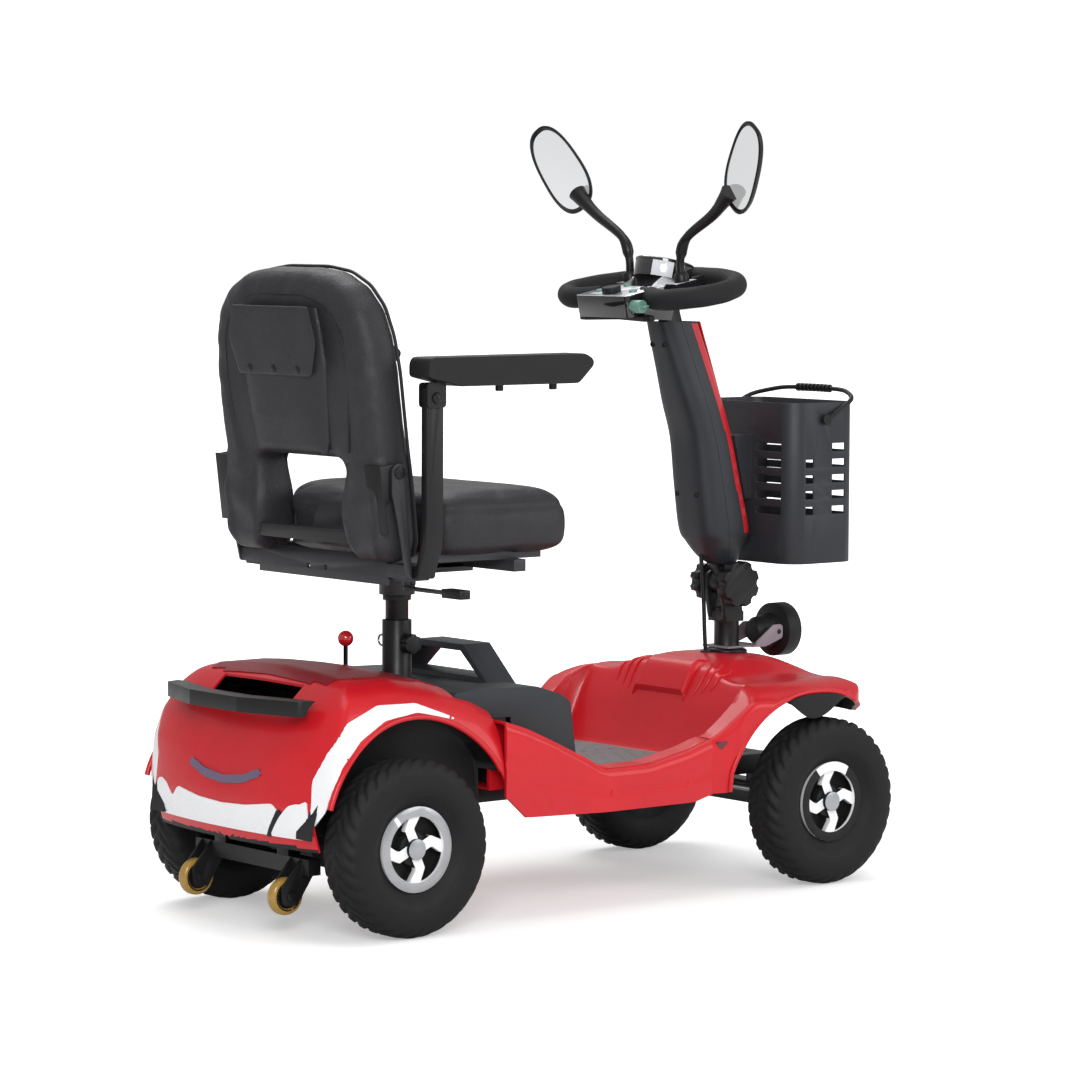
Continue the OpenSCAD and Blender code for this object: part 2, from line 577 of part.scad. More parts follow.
module footboard_mat() color("#6d6a6c") difference() {
    slab_z(floor_z, step_z) polygon(soft([[-battery_x + 2, -foot_front + 4], [battery_x - 2, -foot_front + 4],
        [battery_x - 2, battery_front - 2], [-battery_x + 2, battery_front - 2]], 14, 4));
    for (k = [0:7]) sides() translate([30, -foot_front + 30 + k * 30, step_z - 2]) rotate([0, 0, 24]) cube([140, 6, 4]);
}
battery_front = 60;
dome_w = [[-252, 236], [-252, 290], [-215, 312], [-150, 316], [-96, 332], [-60, 347], [60, 347], [96, 332],
    [150, 316], [215, 312], [252, 290], [252, 236]];
dome_side = [[split_y, 160], [split_y, 243], [-190, 256], [-240, 295], [-285, 328], [-345, 347], [-430, 346],
    [-475, 318], [-502, 280], [-506, 236], [-506, 160]];
function shrink(p, k) = [for (q = p) [q[0] * (1 - k / 250), q[1] - k]];
module front_hood(k) intersection() {
    slab_x(-260, 260) polygon(soft([for (q = dome_side) [max(-506 + k, q[0]), q[1] - (q[1] > 210 ? k : 0)]],
        [for (i = [0:10]) i < 2 || i > 8 ? 0 : 16], 4));
    slab_y(-520, 0) polygon(soft(concat(shrink(dome_w, k), [[252 - k, 100], [-252 + k, 100]]), 14, 3));
}
module footwell(k) slab_x(-battery_x - k, battery_x + k) polygon([[split_y + 6, floor_z - k],
    [-foot_front - k, floor_z - k], [-foot_front - 50 - k, 300], [-foot_front - 73 - k, 370], [split_y + 6, 370]]);
module front_body_cover() color("#c21c28") difference() {
    front_hood(0);
    difference() {
        front_hood(wall);
        block([-body_x, body_x], [split_y - wall, split_y + 10], [100, 246]);
        footwell(wall);
    }
    footwell(0);
    block([-300, 300], [-600, split_y - 4], [100, 158]);
    sides() translate([0, arch_front_y, arch_front_z]) rod_x(104, 300, front_arch_r);
    block([-300, 300], [-600, front_y - 60], [100, 262]);
    translate([0, front_y, 0]) rod_z(300, 400, column_d / 2 + 13);
    block([-104, 104], [-300, split_y + 1], [100, rail_top + clear]);
    translate([2, -360, 300]) rod_z(0, 80, 3.8);
}

rear_w = [[-232, 130], [-238, 200], [-226, 300], [-196, 356], [-150, 384], [150, 384], [196, 356], [226, 300],
    [238, 200], [232, 130]];
rear_side = [[rear_split + seam, 160], [rear_split + seam, 330], [270, 352], [330, 372], [430, 390], [500, 380],
    [545, 335], [572, 260], [578, 190], [566, 130], [300, 130]];
module rear_hull(k) intersection() {
    slab_x(-260, 260) polygon(soft([for (q = rear_side) [q[0] > 400 ? q[0] - k : q[0], q[1] > 200 ? q[1] - k : q[1]]],
        14, 4));
    slab_y(0, 620) polygon(soft([for (q = rear_w) [q[0] * (1 - k / 230), q[1] > 300 ? q[1] - k : q[1]]], 14, 4));
    slab_z(100, 420) polygon(soft([[-250 + k, 200], [250 - k, 200], [250 - k, 520], [190 - k, 584 - k],
        [-190 + k, 584 - k], [-250 + k, 520]], 30, 4));
}
panel_y = [300, 470];
panel_x = 120;
module rear_body_cover() color("#d8242f") difference() {
    rear_hull(0);
    rear_hull(wall);
    block([-300, 300], [0, 700], [100, 130.5]);
    sides() translate([0, arch_rear_y, arch_rear_z]) rod_x(200, 300, rear_arch_r);
    block([-panel_x, panel_x], panel_y, [330, 420]);
    block([-battery_x - 2, battery_x + 2], [200, post_y + 40], [300, 420]);
    block([-100, 100], [500, 560], [330, 420]);
    sides() block([220, 300], [200, 300], [100, 165]);
}
module rear_top_panel() color("#8c1420") difference() {
    intersection() {
        slab_x(-panel_x + seam, panel_x - seam) polygon([[panel_y[0] + seam, 356], [430, 384], [panel_y[1] - seam, 381],
            [panel_y[1] - seam, 393], [430, 397], [330, 381], [panel_y[0] + seam, 374]]);
        block([-300, 300], [0, 700], [340, 400]);
    }
    block([lever_x - 7, lever_x + 7], [lever_y - 7, lever_y + 40], [300, 420]);
}
grab_z = 334;
module rear_grab_handle() color("#3a3b3f") difference() {
    slab_z(grab_z - 10, grab_z + 12) polygon(soft([[-188, 486], [-168, 560], [-60, 592], [60, 592], [168, 560],
        [188, 486], [160, 486], [146, 536], [52, 562], [-52, 562], [-146, 536], [-160, 486]], 12, 4));
    rear_hull(-0.3);
}
module on_cover(tone) color(tone) intersection() {
    difference() {
        rear_hull(-2.4);
        rear_hull(-0.3);
    }
    children();
}
module rear_trim_inserts() {
    on_cover("#f1f2f3") sides() slab_y(520, 600) polygon(soft([[2, 140], [2, 176], [112, 178],
        [128, 162], [176, 168], [186, 152], [180, 140]], 3, 2));
    on_cover("#6a6a9a") slab_y(520, 600) polygon(soft([[-100, 212], [-98, 224], [0, 210],
        [98, 224], [100, 212], [0, 196]], 4, 3));
    on_cover("#c9cbd0") sides() translate([0, arch_rear_y, arch_rear_z]) intersection() {
        difference() {
            rod_x(190, 260, rear_arch_r + 26);
            rod_x(189, 261, rear_arch_r + 10);
        }
        block([0, 300], [-40, 170], [18, 220]);
    }
}
module rear_arch_liners() color("#17171a") sides() difference() {
    union() {
        translate([0, arch_rear_y, arch_rear_z]) difference() {
            rod_x(172, 218, rear_arch_r - 1);
            rod_x(171, 219, rear_arch_r - 1 - wall);
        }
        translate([0, arch_rear_y, arch_rear_z]) rod_x(169, 172, rear_arch_r - 1);
    }
    block([0, 300], [0, 700], [-100, 150]);
    translate([0, rear_y, wheel_z]) rod_x(100, 300, 40);
    block([0, 300], [0, rear_split + 1], [0, 500]);
    difference() {
        block([0, 300], [0, 700], [0, 500]);
        rear_hull(wall + 0.3);
    }
}
module cover_screws() color("#9a9da2") {
    sides() for (p = [[180, 178], [30, 178], [-120, 178]]) translate([body_x, p[0], p[1]]) rod_x(0, 2.5, 6);
}

// ---- Battery ----
module battery_case() color("#3b3d42") difference() {
    union() {
        slab_x(-battery_x, battery_x) polygon(soft([[63, floor_z + 0.3], [66, 240], [76, 316], [96, 328], [140, step_z + battery_h],
            [250, step_z + battery_h + 3], [296, step_z + battery_h], [296, 316], [200, 290], [200, floor_z + 0.3]],
            [6, 10, 12, 20, 20, 10, 6, 6, 6, 4], 3));
        slab_y(126, 178) polygon([[-132, 330], [-58, 396], [58, 396], [132, 330]]);
    }
    slab_x(-battery_x + wall, battery_x - wall) polygon([[66, step_z + wall], [70, 240], [80, 312], [100, 322],
        [142, 332], [194, 332], [194, step_z + wall]]);
    slab_y(100, 200) polygon([[-96, 350], [-52, 386], [52, 386], [96, 350]]);
    translate([0, post_y, 0]) rod_z(190, 400, socket_d / 2 + 8);
    block([-socket_d / 2 - 8, socket_d / 2 + 8], [post_y, post_y + 60], [190, 400]);
    sides() block([battery_x - 6, battery_x + 1], [190, 330], [200, 300]);
}
module battery_cells() color("#1f5f8b") sides() block([4, 94], [84, 186], [step_z + wall + clear, step_z + wall + 104]);

// ---- Freewheel lever ----
lever_x = 40;
lever_y = 300 + 24;
module freewheel_lever() translate([lever_x, lever_y, 0]) {
    color("#1d1d20") {
        rod_z(rail_top + 8, 398, 3.5);
        translate([0, 0, rail_top + 8]) rod_x(-7, rail_x - lever_x - 5, 5);
    }
    color("#cc1f26") translate([0, 0, 406]) sphere(r = 12);
}

// ---- Seat ----
pin_z = 400;
pin_r = 4;
module seat_post() color("#1b1c1f") difference() {
    translate([0, post_y, 0]) {
        rod_z(rail_top + 40, post_top, post_d / 2);
        rod_z(post_top, post_top + 34, 15);
        rod_z(post_top - 8, post_top, post_d / 2 + 4);
    }
    hull() for (h = [0, post_travel]) translate([0, post_y, pin_z - h]) rod_x(-60, 60, pin_r + run);
}
module post_lock_pin() color("#8f9296") translate([0, post_y, pin_z]) {
    rod_x(10, socket_d / 2 + 9, pin_r);
    translate([socket_d / 2 + 16, 0, 0]) rotate([90, 0, 0]) rotate_extrude() translate([8, 0]) circle(r = 1.8, $fn = 24);
}
module post_clamp_knob() color("#222326") translate([0, post_y, pin_z]) {
    rod_x(-socket_d / 2 - 8, -post_d / 2 - 0.6, pin_r);
    difference() {
        rod_x(-socket_d / 2 - 20, -socket_d / 2 - 6, 15);
        for (a = [0:60:300]) rotate([a, 0, 0]) translate([0, 18, 0]) rod_x(-60, 0, 5);
    }
}
base_z = [post_top + 34 + 6, cushion_z - 0.3];
arm_pivot = [372, 778];
arm_low = base_z[0] + 12;
slip = 0.2;
// Where the backrest folds, in its own leaning frame and in the whole scooter's
back_y = 414;
back_z = 596;
fold_in = [-10, 74];
fold_at = [back_y + fold_in[0] * cos(back_lean) + fold_in[1] * sin(back_lean),
    back_z - fold_in[0] * sin(back_lean) + fold_in[1] * cos(back_lean)];
hinge_x = 208.5;
module seat_frame() color("#4a4b50") difference() {
    union() {
        translate([0, post_y, 0]) rod_z(post_top + clear, base_z[0], 27);
        block([-70, 70], [post_y - 90, post_y + 90], [base_z[0] - 4, base_z[0] + 3]);
        for (y = [post_y - 84, post_y + 84])
            block([-190, 190], [y - 11, y + 11], [base_z[0] + 3, base_z[0] + 21]);
        sides() block([150, 172], [120, 392], [base_z[0] + 21, base_z[1]]);
        block([-160, 160], [392, 397], [base_z[0] - 8, base_z[1]]);
        sides() block([150, 204], [arm_pivot[0] - 19, arm_pivot[0] + 19], [arm_low - 12, arm_low + 12]);
        sides() block([150, hinge_x], [391, 397], [arm_low - 8, arm_low + 12]);
        sides() slab_x(hinge_x, hinge_x + 4) polygon(soft([[391, arm_low - 8], [397, arm_low - 8],
            [fold_at[0] + 13, fold_at[1] - 30], [fold_at[0] + 13, fold_at[1] + 13], [fold_at[0] - 13, fold_at[1] + 13],
            [fold_at[0] - 13, fold_at[1] - 30], [391, arm_low + 12]], [0, 10, 12, 12, 12, 10, 0], 3));
        translate([-62, post_y + 24, base_z[0] - 14]) rod_z(-6, 12, 10);
    }
    translate([0, post_y, 0]) rod_z(0, post_top + 34 + clear, 15 + run);
    translate([-62, post_y + 24, 0]) rod_z(0, 540, 4 + run);
    for (x = [-10, 34]) translate([x, 380, base_z[0] + 8]) rod_y(0, 30, 4);
    sides() block([152, 300], [arm_pivot[0] - 15 - slip, arm_pivot[0] + 15 + slip], [arm_low - 8 - slip, arm_low + 8 + slip]);
    translate([0, fold_at[0], fold_at[1]]) rod_x(-300, 300, 5 + run);
}
module seat_cushion() color("#3c3b40") intersection() {
    slab_x(-cushion_w / 2, cushion_w / 2) polygon(soft([[cushion_back - cushion_l, cushion_z],
        [cushion_back - cushion_l, cushion_z + cushion_t - 4], [cushion_back - 150, cushion_z + cushion_t - 10],
        [cushion_back - 66, cushion_z + cushion_t - 2], [cushion_back - 66, cushion_z]], [26, 34, 60, 14, 10], 5));
    slab_z(cushion_z - 5, cushion_z + cushion_t + 5) polygon(soft([[-cushion_w / 2, cushion_back - cushion_l],
        [cushion_w / 2, cushion_back - cushion_l], [cushion_w / 2, cushion_back + 10],
        [-cushion_w / 2, cushion_back + 10]], 32, 6));
}
back_low = 566;
module on_back() translate([0, back_y, back_z]) rotate([-back_lean, 0, 0]) children();
back_in = 50;
// Where the legs' rear faces stand back from the rest of the backrest
back_rear = 16;
back_h = (back_top - back_z) / cos(back_lean);
back_outline = [[-back_w / 2 + 8, back_low - back_z - 12], [-back_w / 2, 60], [-back_w / 2, 230],
    [-back_w / 2 + 36, back_h - 40], [-90, back_h], [90, back_h], [back_w / 2 - 36, back_h - 40],
    [back_w / 2, 230], [back_w / 2, 60], [back_w / 2 - 8, back_low - back_z - 12], [114, back_low - back_z - 12],
    [96, 30], [104, 90], [-104, 90], [-96, 30], [-114, back_low - back_z - 12]];
module backrest_cushion() color("#45444b") on_back() difference() {
    slab_y(-back_in, back_t - back_in) polygon(soft(back_outline,
        [20, 60, 120, 90, 60, 60, 90, 120, 60, 20, 20, 20, 14, 14, 20, 20], 5));
    block([-back_w, back_w], [back_rear, 60], [-60, 92]);
}
module backrest_frame() color("#4a4b50") on_back() {
    sides() {
        block([126, 207.5], [back_rear + clear, back_rear + clear + 4], [-12, 88]);
        slab_x(204.5, 207.5) polygon(soft([[fold_in[0] - 13, 61], [back_rear + 2, 30], [back_rear + clear + 4, 30],
            [back_rear + clear + 4, 87], [fold_in[0] - 13, 87]], 6, 3));
        translate([0, fold_in[0], fold_in[1]]) rod_x(204.5, hinge_x + 6, 5);
        translate([0, fold_in[0], fold_in[1]]) rod_x(hinge_x + 4.4, hinge_x + 7, 9);
    }
    block([-186, 186], [back_rear + clear, back_rear + clear + 4], [-32, -12]);
}
module back_pocket() color("#504f56") on_back() difference() {
    slab_y(back_t - back_in + clear, back_t - back_in + 24) polygon(soft([[-110, 100], [110, 100], [128, 250],
        [112, 316], [-112, 316], [-128, 250]], 8, 3));
    slab_x(-90, 90) polygon([[back_t - back_in + 4, 112], [back_t - back_in + 18, 120],
        [back_t - back_in + 18, 310], [back_t - back_in + 4, 330]]);
}
module swivel_lever() color("#55575b") translate([-62, post_y + 24, base_z[0] - 14]) {
    rod_z(-16, 10, 4);
    rod_z(-14, -6 - clear, 9);
    slab_z(-14, -9) polygon([[4, -7], [4, 7], [-96, 9], [-96, -5]]);
    color("#18181a") slab_z(-18, -5) polygon(soft([[-92, -10], [-92, 12], [-140, 12], [-140, -8]], 4, 3));
}
module armrest_frame(left) color("#232427") at_side(left) difference() {
    union() {
        slab_y(arm_pivot[0] - 15, arm_pivot[0] + 15) polygon(concat([[arm_x - 7, arm_pivot[1] + 14],
            [arm_x - 7, 600], [arm_x - 9, 566], [arm_x - 20, arm_low + 8], [arm_x - 66, arm_low + 8]],
            [[arm_x - 66, arm_low - 8], [arm_x - 14, arm_low - 8], [arm_x + 4, 560], [arm_x + 7, 600],
            [arm_x + 7, arm_pivot[1] + 14]]));
    }
    translate([0, arm_pivot[0], arm_pivot[1]]) rod_x(0, 400, 5 + run);
}
module armrest_pad(left) color("#222326") at_side(left) {
    top = pad_top;
    back = arm_pivot[0] + 25;
    slab_x(arm_x - pad_w / 2, arm_x + pad_w / 2) polygon(soft([[back, top - 8], [back - 4, top],
        [back - pad_l + 14, top + 1], [back - pad_l, top - 8], [back - pad_l, top - 16],
        [back - pad_l + 28, top - 44], [back - 60, top - 44], [back, top - 30]], 3, 2));
    difference() {
        sides2() block([7 + clear, 10 + clear], [arm_pivot[0] - 17, arm_pivot[0] + 17], [arm_pivot[1] - 16, top - 28]);
        translate([0, arm_pivot[0], arm_pivot[1]]) rod_x(0, 400, 5 + run);
    }
    translate([0, arm_pivot[0], arm_pivot[1]]) rod_x(arm_x - 13, arm_x + 13, 5);
    for (s = [-1, 1]) translate([arm_x + s * 14, arm_pivot[0], arm_pivot[1]]) rod_x(-2.5, 2.5, 8);
    for (y = [150, 250]) translate([arm_x, y, 0]) rod_z(top - 52, top - 42, 6);
}
module sides2() for (s = [-1, 1]) translate([arm_x, 0, 0]) mirror([s > 0 ? 0 : 1, 0, 0]) children();

// ---- Tiller cable ----
cable = [[5, -350, 512], [5, -354, 470], [4, -357, 420], [3, -358, 380], [2, -360, 341]];
module tiller_cable() color("#121213") pipe(smooth(cable, 5), 3.5, 8, [0, 1, 0]);

main_frame();
centre_body();
footboard_mat();
front_body_cover();
rear_body_cover();
rear_top_panel();
rear_grab_handle();
rear_trim_inserts();
rear_arch_liners();
transaxle();
controller();
anti_tip_brackets();
cover_screws();
battery_case();
battery_cells();
freewheel_lever();
tyre(true, front_y);  // tyre_front_left
tyre(false, front_y);  // tyre_front_right
tyre(true, rear_y);  // tyre_rear_left
tyre(false, rear_y);  // tyre_rear_right
rim(true, front_y);  // rim_front_left
rim(false, front_y);  // rim_front_right
rim(true, rear_y);  // rim_rear_left
rim(false, rear_y);  // rim_rear_right
knuckle(true);  // knuckle_left
knuckle(false);  // knuckle_right
tie_rod();
roller(true);  // anti_tip_wheel_left
roller(false);  // anti_tip_wheel_right
seat_post();
post_lock_pin();
post_clamp_knob();
seat_frame();
seat_cushion();
backrest_frame();
backrest_cushion();
back_pocket();
swivel_lever();
armrest_frame(true);  // armrest_frame_left
armrest_frame(false);  // armrest_frame_right
armrest_pad(true);  // armrest_pad_left
armrest_pad(false);  // armrest_pad_right
steering_column();
tiller_mast();
tiller_rear_cover();
tiller_front_cover();
tiller_strip();
steering_wheel();
console();
ignition_key();
throttle_lever();
speed_dial();
tilt_lock_knobs();
rear_mirror(true);  // mirror_left
rear_mirror(false);  // mirror_right
basket();
basket_handle();
headlamp();
headlamp_bracket();
tiller_cable();
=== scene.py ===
import json
from math import cos, pi, radians, sin
import bmesh
import bpy
import numpy as np
from mathutils import Matrix, Vector


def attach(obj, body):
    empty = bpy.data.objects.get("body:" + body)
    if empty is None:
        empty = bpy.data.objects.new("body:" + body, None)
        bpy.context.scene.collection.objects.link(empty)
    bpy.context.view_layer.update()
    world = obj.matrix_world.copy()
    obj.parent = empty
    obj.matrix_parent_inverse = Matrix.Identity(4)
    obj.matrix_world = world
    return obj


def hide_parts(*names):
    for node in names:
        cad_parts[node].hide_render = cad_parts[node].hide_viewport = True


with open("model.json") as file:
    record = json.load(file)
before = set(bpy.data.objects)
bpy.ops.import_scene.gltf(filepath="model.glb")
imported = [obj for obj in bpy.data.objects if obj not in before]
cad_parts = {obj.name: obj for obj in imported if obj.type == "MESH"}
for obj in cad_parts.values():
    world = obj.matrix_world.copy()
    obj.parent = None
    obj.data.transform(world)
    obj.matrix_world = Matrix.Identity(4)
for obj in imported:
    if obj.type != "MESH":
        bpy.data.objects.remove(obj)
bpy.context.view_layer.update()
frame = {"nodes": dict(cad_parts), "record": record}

mm = 0.001
shown = bpy.context.scene.collection


def newGroup(name, inputs, outputs):  # an empty node group with named sockets; inputs are (name, kind, default)
    group = bpy.data.node_groups.new(name, "ShaderNodeTree")
    for title, kind, default in inputs:
        socket = group.interface.new_socket(title, in_out="INPUT", socket_type=kind)
        if default is not None:
            socket.default_value = default
    for title, kind in outputs:
        group.interface.new_socket(title, in_out="OUTPUT", socket_type=kind)
    return group, group.nodes.new("NodeGroupInput"), group.nodes.new("NodeGroupOutput")


def noise(tree, vector, scale, detail=4.0, rough=0.55):  # a noise texture read along vector
    node = tree.nodes.new("ShaderNodeTexNoise")
    node.inputs["Detail"].default_value = detail
    node.inputs["Roughness"].default_value = rough
    if isinstance(scale, (int, float)):
        node.inputs["Scale"].default_value = scale
    else:
        tree.links.new(scale, node.inputs["Scale"])
    tree.links.new(vector, node.inputs["Vector"])
    return node.outputs["Fac"]


def maths(tree, operation, a, b=None, clamp=False):  # one Math node; a and b are sockets or numbers
    node = tree.nodes.new("ShaderNodeMath")
    node.operation, node.use_clamp = operation, clamp
    for index, value in enumerate((a, b)):
        if value is None:
            continue
        if isinstance(value, (int, float)):
            node.inputs[index].default_value = value
        else:
            tree.links.new(value, node.inputs[index])
    return node.outputs[0]


def mixColour(tree, mask, a, b, blendType="MIX"):  # colour a goes to colour b where mask is 1
    node = tree.nodes.new("ShaderNodeMix")
    node.data_type, node.blend_type = "RGBA", blendType
    for socket, value in ((node.inputs[0], mask), (node.inputs[6], a), (node.inputs[7], b)):
        if hasattr(value, "is_output"):
            tree.links.new(value, socket)
        elif isinstance(value, (int, float)):
            socket.default_value = value
        else:
            socket.default_value = (*value, 1.0) if len(value) == 3 else value
    return node.outputs[2]


def makeMottle():  # slow patches of a second colour, with a little roughness change in step with them
    group, start, end = newGroup("mottle", [("Vector", "NodeSocketVector", None),
        ("Colour", "NodeSocketColor", (0.5, 0.5, 0.5, 1)),
        ("Patch Colour", "NodeSocketColor", (0.4, 0.4, 0.4, 1)), ("Scale", "NodeSocketFloat", 20.0),
        ("Amount", "NodeSocketFloat", 0.3), ("Roughness", "NodeSocketFloat", 0.4),
        ("Spread", "NodeSocketFloat", 0.08)],
        [("Colour", "NodeSocketColor"), ("Roughness", "NodeSocketFloat")])
    patches = noise(group, start.outputs["Vector"], start.outputs["Scale"], 5)
    fine = noise(group, start.outputs["Vector"], maths(group, "MULTIPLY", start.outputs["Scale"], 7.0), 3)
    both = maths(group, "ADD", maths(group, "MULTIPLY", patches, 0.7), maths(group, "MULTIPLY", fine, 0.3))
    steep = group.nodes.new("ShaderNodeMapRange")
    steep.inputs["From Min"].default_value, steep.inputs["From Max"].default_value = 0.36, 0.66
    group.links.new(both, steep.inputs["Value"])
    mask = maths(group, "MULTIPLY", steep.outputs["Result"], start.outputs["Amount"], clamp=True)
    colour = mixColour(group, mask, start.outputs["Colour"], start.outputs["Patch Colour"])
    group.links.new(colour, end.inputs["Colour"])
    centred = maths(group, "SUBTRACT", steep.outputs["Result"], 0.5)
    shift = maths(group, "MULTIPLY", centred, start.outputs["Spread"])
    group.links.new(maths(group, "ADD", start.outputs["Roughness"], shift, clamp=True), end.inputs["Roughness"])
    return group


def makeDust():  # pale dust that settles on faces that look up, thicker in patches
    group, start, end = newGroup("settledDust", [("Vector", "NodeSocketVector", None),
        ("Colour", "NodeSocketColor", (0.5, 0.5, 0.5, 1)),
        ("Roughness", "NodeSocketFloat", 0.4), ("Dust Colour", "NodeSocketColor", (0.5, 0.48, 0.45, 1)),
        ("Amount", "NodeSocketFloat", 0.1)], [("Colour", "NodeSocketColor"), ("Roughness", "NodeSocketFloat")])
    geometry = group.nodes.new("ShaderNodeNewGeometry")
    split = group.nodes.new("ShaderNodeSeparateXYZ")
    group.links.new(geometry.outputs["Normal"], split.inputs[0])
    patches = noise(group, start.outputs["Vector"], 38.0, 6)
    up = maths(group, "MULTIPLY", maths(group, "ADD", split.outputs["Z"], 0.25, clamp=True), patches)
    mask = maths(group, "MULTIPLY", up, start.outputs["Amount"], clamp=True)
    colour = mixColour(group, mask, start.outputs["Colour"], start.outputs["Dust Colour"])
    group.links.new(colour, end.inputs["Colour"])
    group.links.new(maths(group, "ADD", start.outputs["Roughness"], mask, clamp=True), end.inputs["Roughness"])
    return group


def makeGrain():  # moulded grain: a cellular pattern and a fine noise, as a height from 0 to 1
    group, start, end = newGroup("mouldedGrain", [("Vector", "NodeSocketVector", None),
        ("Scale", "NodeSocketFloat", 600.0), ("Cells", "NodeSocketFloat", 0.6),
        ("Waves", "NodeSocketFloat", 0.0)], [("Height", "NodeSocketFloat")])
    cells = group.nodes.new("ShaderNodeTexVoronoi")
    cells.feature = "SMOOTH_F1"
    group.links.new(start.outputs["Vector"], cells.inputs["Vector"])
    group.links.new(start.outputs["Scale"], cells.inputs["Scale"])
    fine = noise(group, start.outputs["Vector"], maths(group, "MULTIPLY", start.outputs["Scale"], 1.7), 3)
    broad = noise(group, start.outputs["Vector"], 14.0, 5, 0.6)
    height = maths(group, "ADD", maths(group, "MULTIPLY", cells.outputs["Distance"], start.outputs["Cells"]),
        maths(group, "MULTIPLY", fine, 0.4))
    waves = maths(group, "MULTIPLY", broad, start.outputs["Waves"])
    group.links.new(maths(group, "ADD", height, waves), end.inputs["Height"])
    return group


mottle, settledDust, mouldedGrain = makeMottle(), makeDust(), makeGrain()


def finishOf(name, colour, patch=None, rough=0.4, spread=0.08, scale=22.0, amount=0.35, grain=600.0, depth=0.0,
             cells=0.6, waves=0.0, dust=0.08, metallic=0.0, coat=0.0, transmission=0.0, sheen=0.0, specular=0.5,
             paintedGlow=None):
    # one whole material: mottled colour, dust on top, grain in the normal, the shader's own plain values and,
    # where given, a painted glow
    material = bpy.data.materials.new(name)
    material.use_nodes = True
    tree = material.node_tree
    shader = tree.nodes["Principled BSDF"]
    where = tree.nodes.new("ShaderNodeTexCoord").outputs["Object"]
    first = tree.nodes.new("ShaderNodeGroup")
    first.node_tree = mottle
    patch = patch or tuple(c * 0.72 for c in colour)
    for title, value in (("Colour", (*colour, 1)), ("Patch Colour", (*patch, 1)), ("Scale", scale),
            ("Amount", amount), ("Roughness", rough), ("Spread", spread)):
        first.inputs[title].default_value = value
    second = tree.nodes.new("ShaderNodeGroup")
    second.node_tree = settledDust
    second.inputs["Amount"].default_value = dust
    tree.links.new(where, first.inputs["Vector"])
    tree.links.new(where, second.inputs["Vector"])
    for title in ("Colour", "Roughness"):
        tree.links.new(first.outputs[title], second.inputs[title])
    tree.links.new(second.outputs["Colour"], shader.inputs["Base Color"])
    tree.links.new(second.outputs["Roughness"], shader.inputs["Roughness"])
    shader.inputs["Metallic"].default_value = metallic
    shader.inputs["Coat Weight"].default_value = coat
    shader.inputs["Coat Roughness"].default_value = 0.06
    shader.inputs["Transmission Weight"].default_value = transmission
    shader.inputs["Sheen Weight"].default_value = sheen
    shader.inputs["Specular IOR Level"].default_value = specular
    # a glow for a surface that is no lamp: painted light
    if paintedGlow:
        shader.inputs["Emission Color"].default_value = (*paintedGlow[:3], 1)
        shader.inputs["Emission Strength"].default_value = paintedGlow[3]
    if depth:
        texture = tree.nodes.new("ShaderNodeGroup")
        texture.node_tree = mouldedGrain
        for title, value in (("Scale", grain), ("Cells", cells), ("Waves", waves)):
            texture.inputs[title].default_value = value
        tree.links.new(where, texture.inputs["Vector"])
        bump = tree.nodes.new("ShaderNodeBump")
        bump.inputs["Strength"].default_value = 0.9
        bump.inputs["Distance"].default_value = depth
        tree.links.new(texture.outputs["Height"], bump.inputs["Height"])
        tree.links.new(bump.outputs["Normal"], shader.inputs["Normal"])
    return material


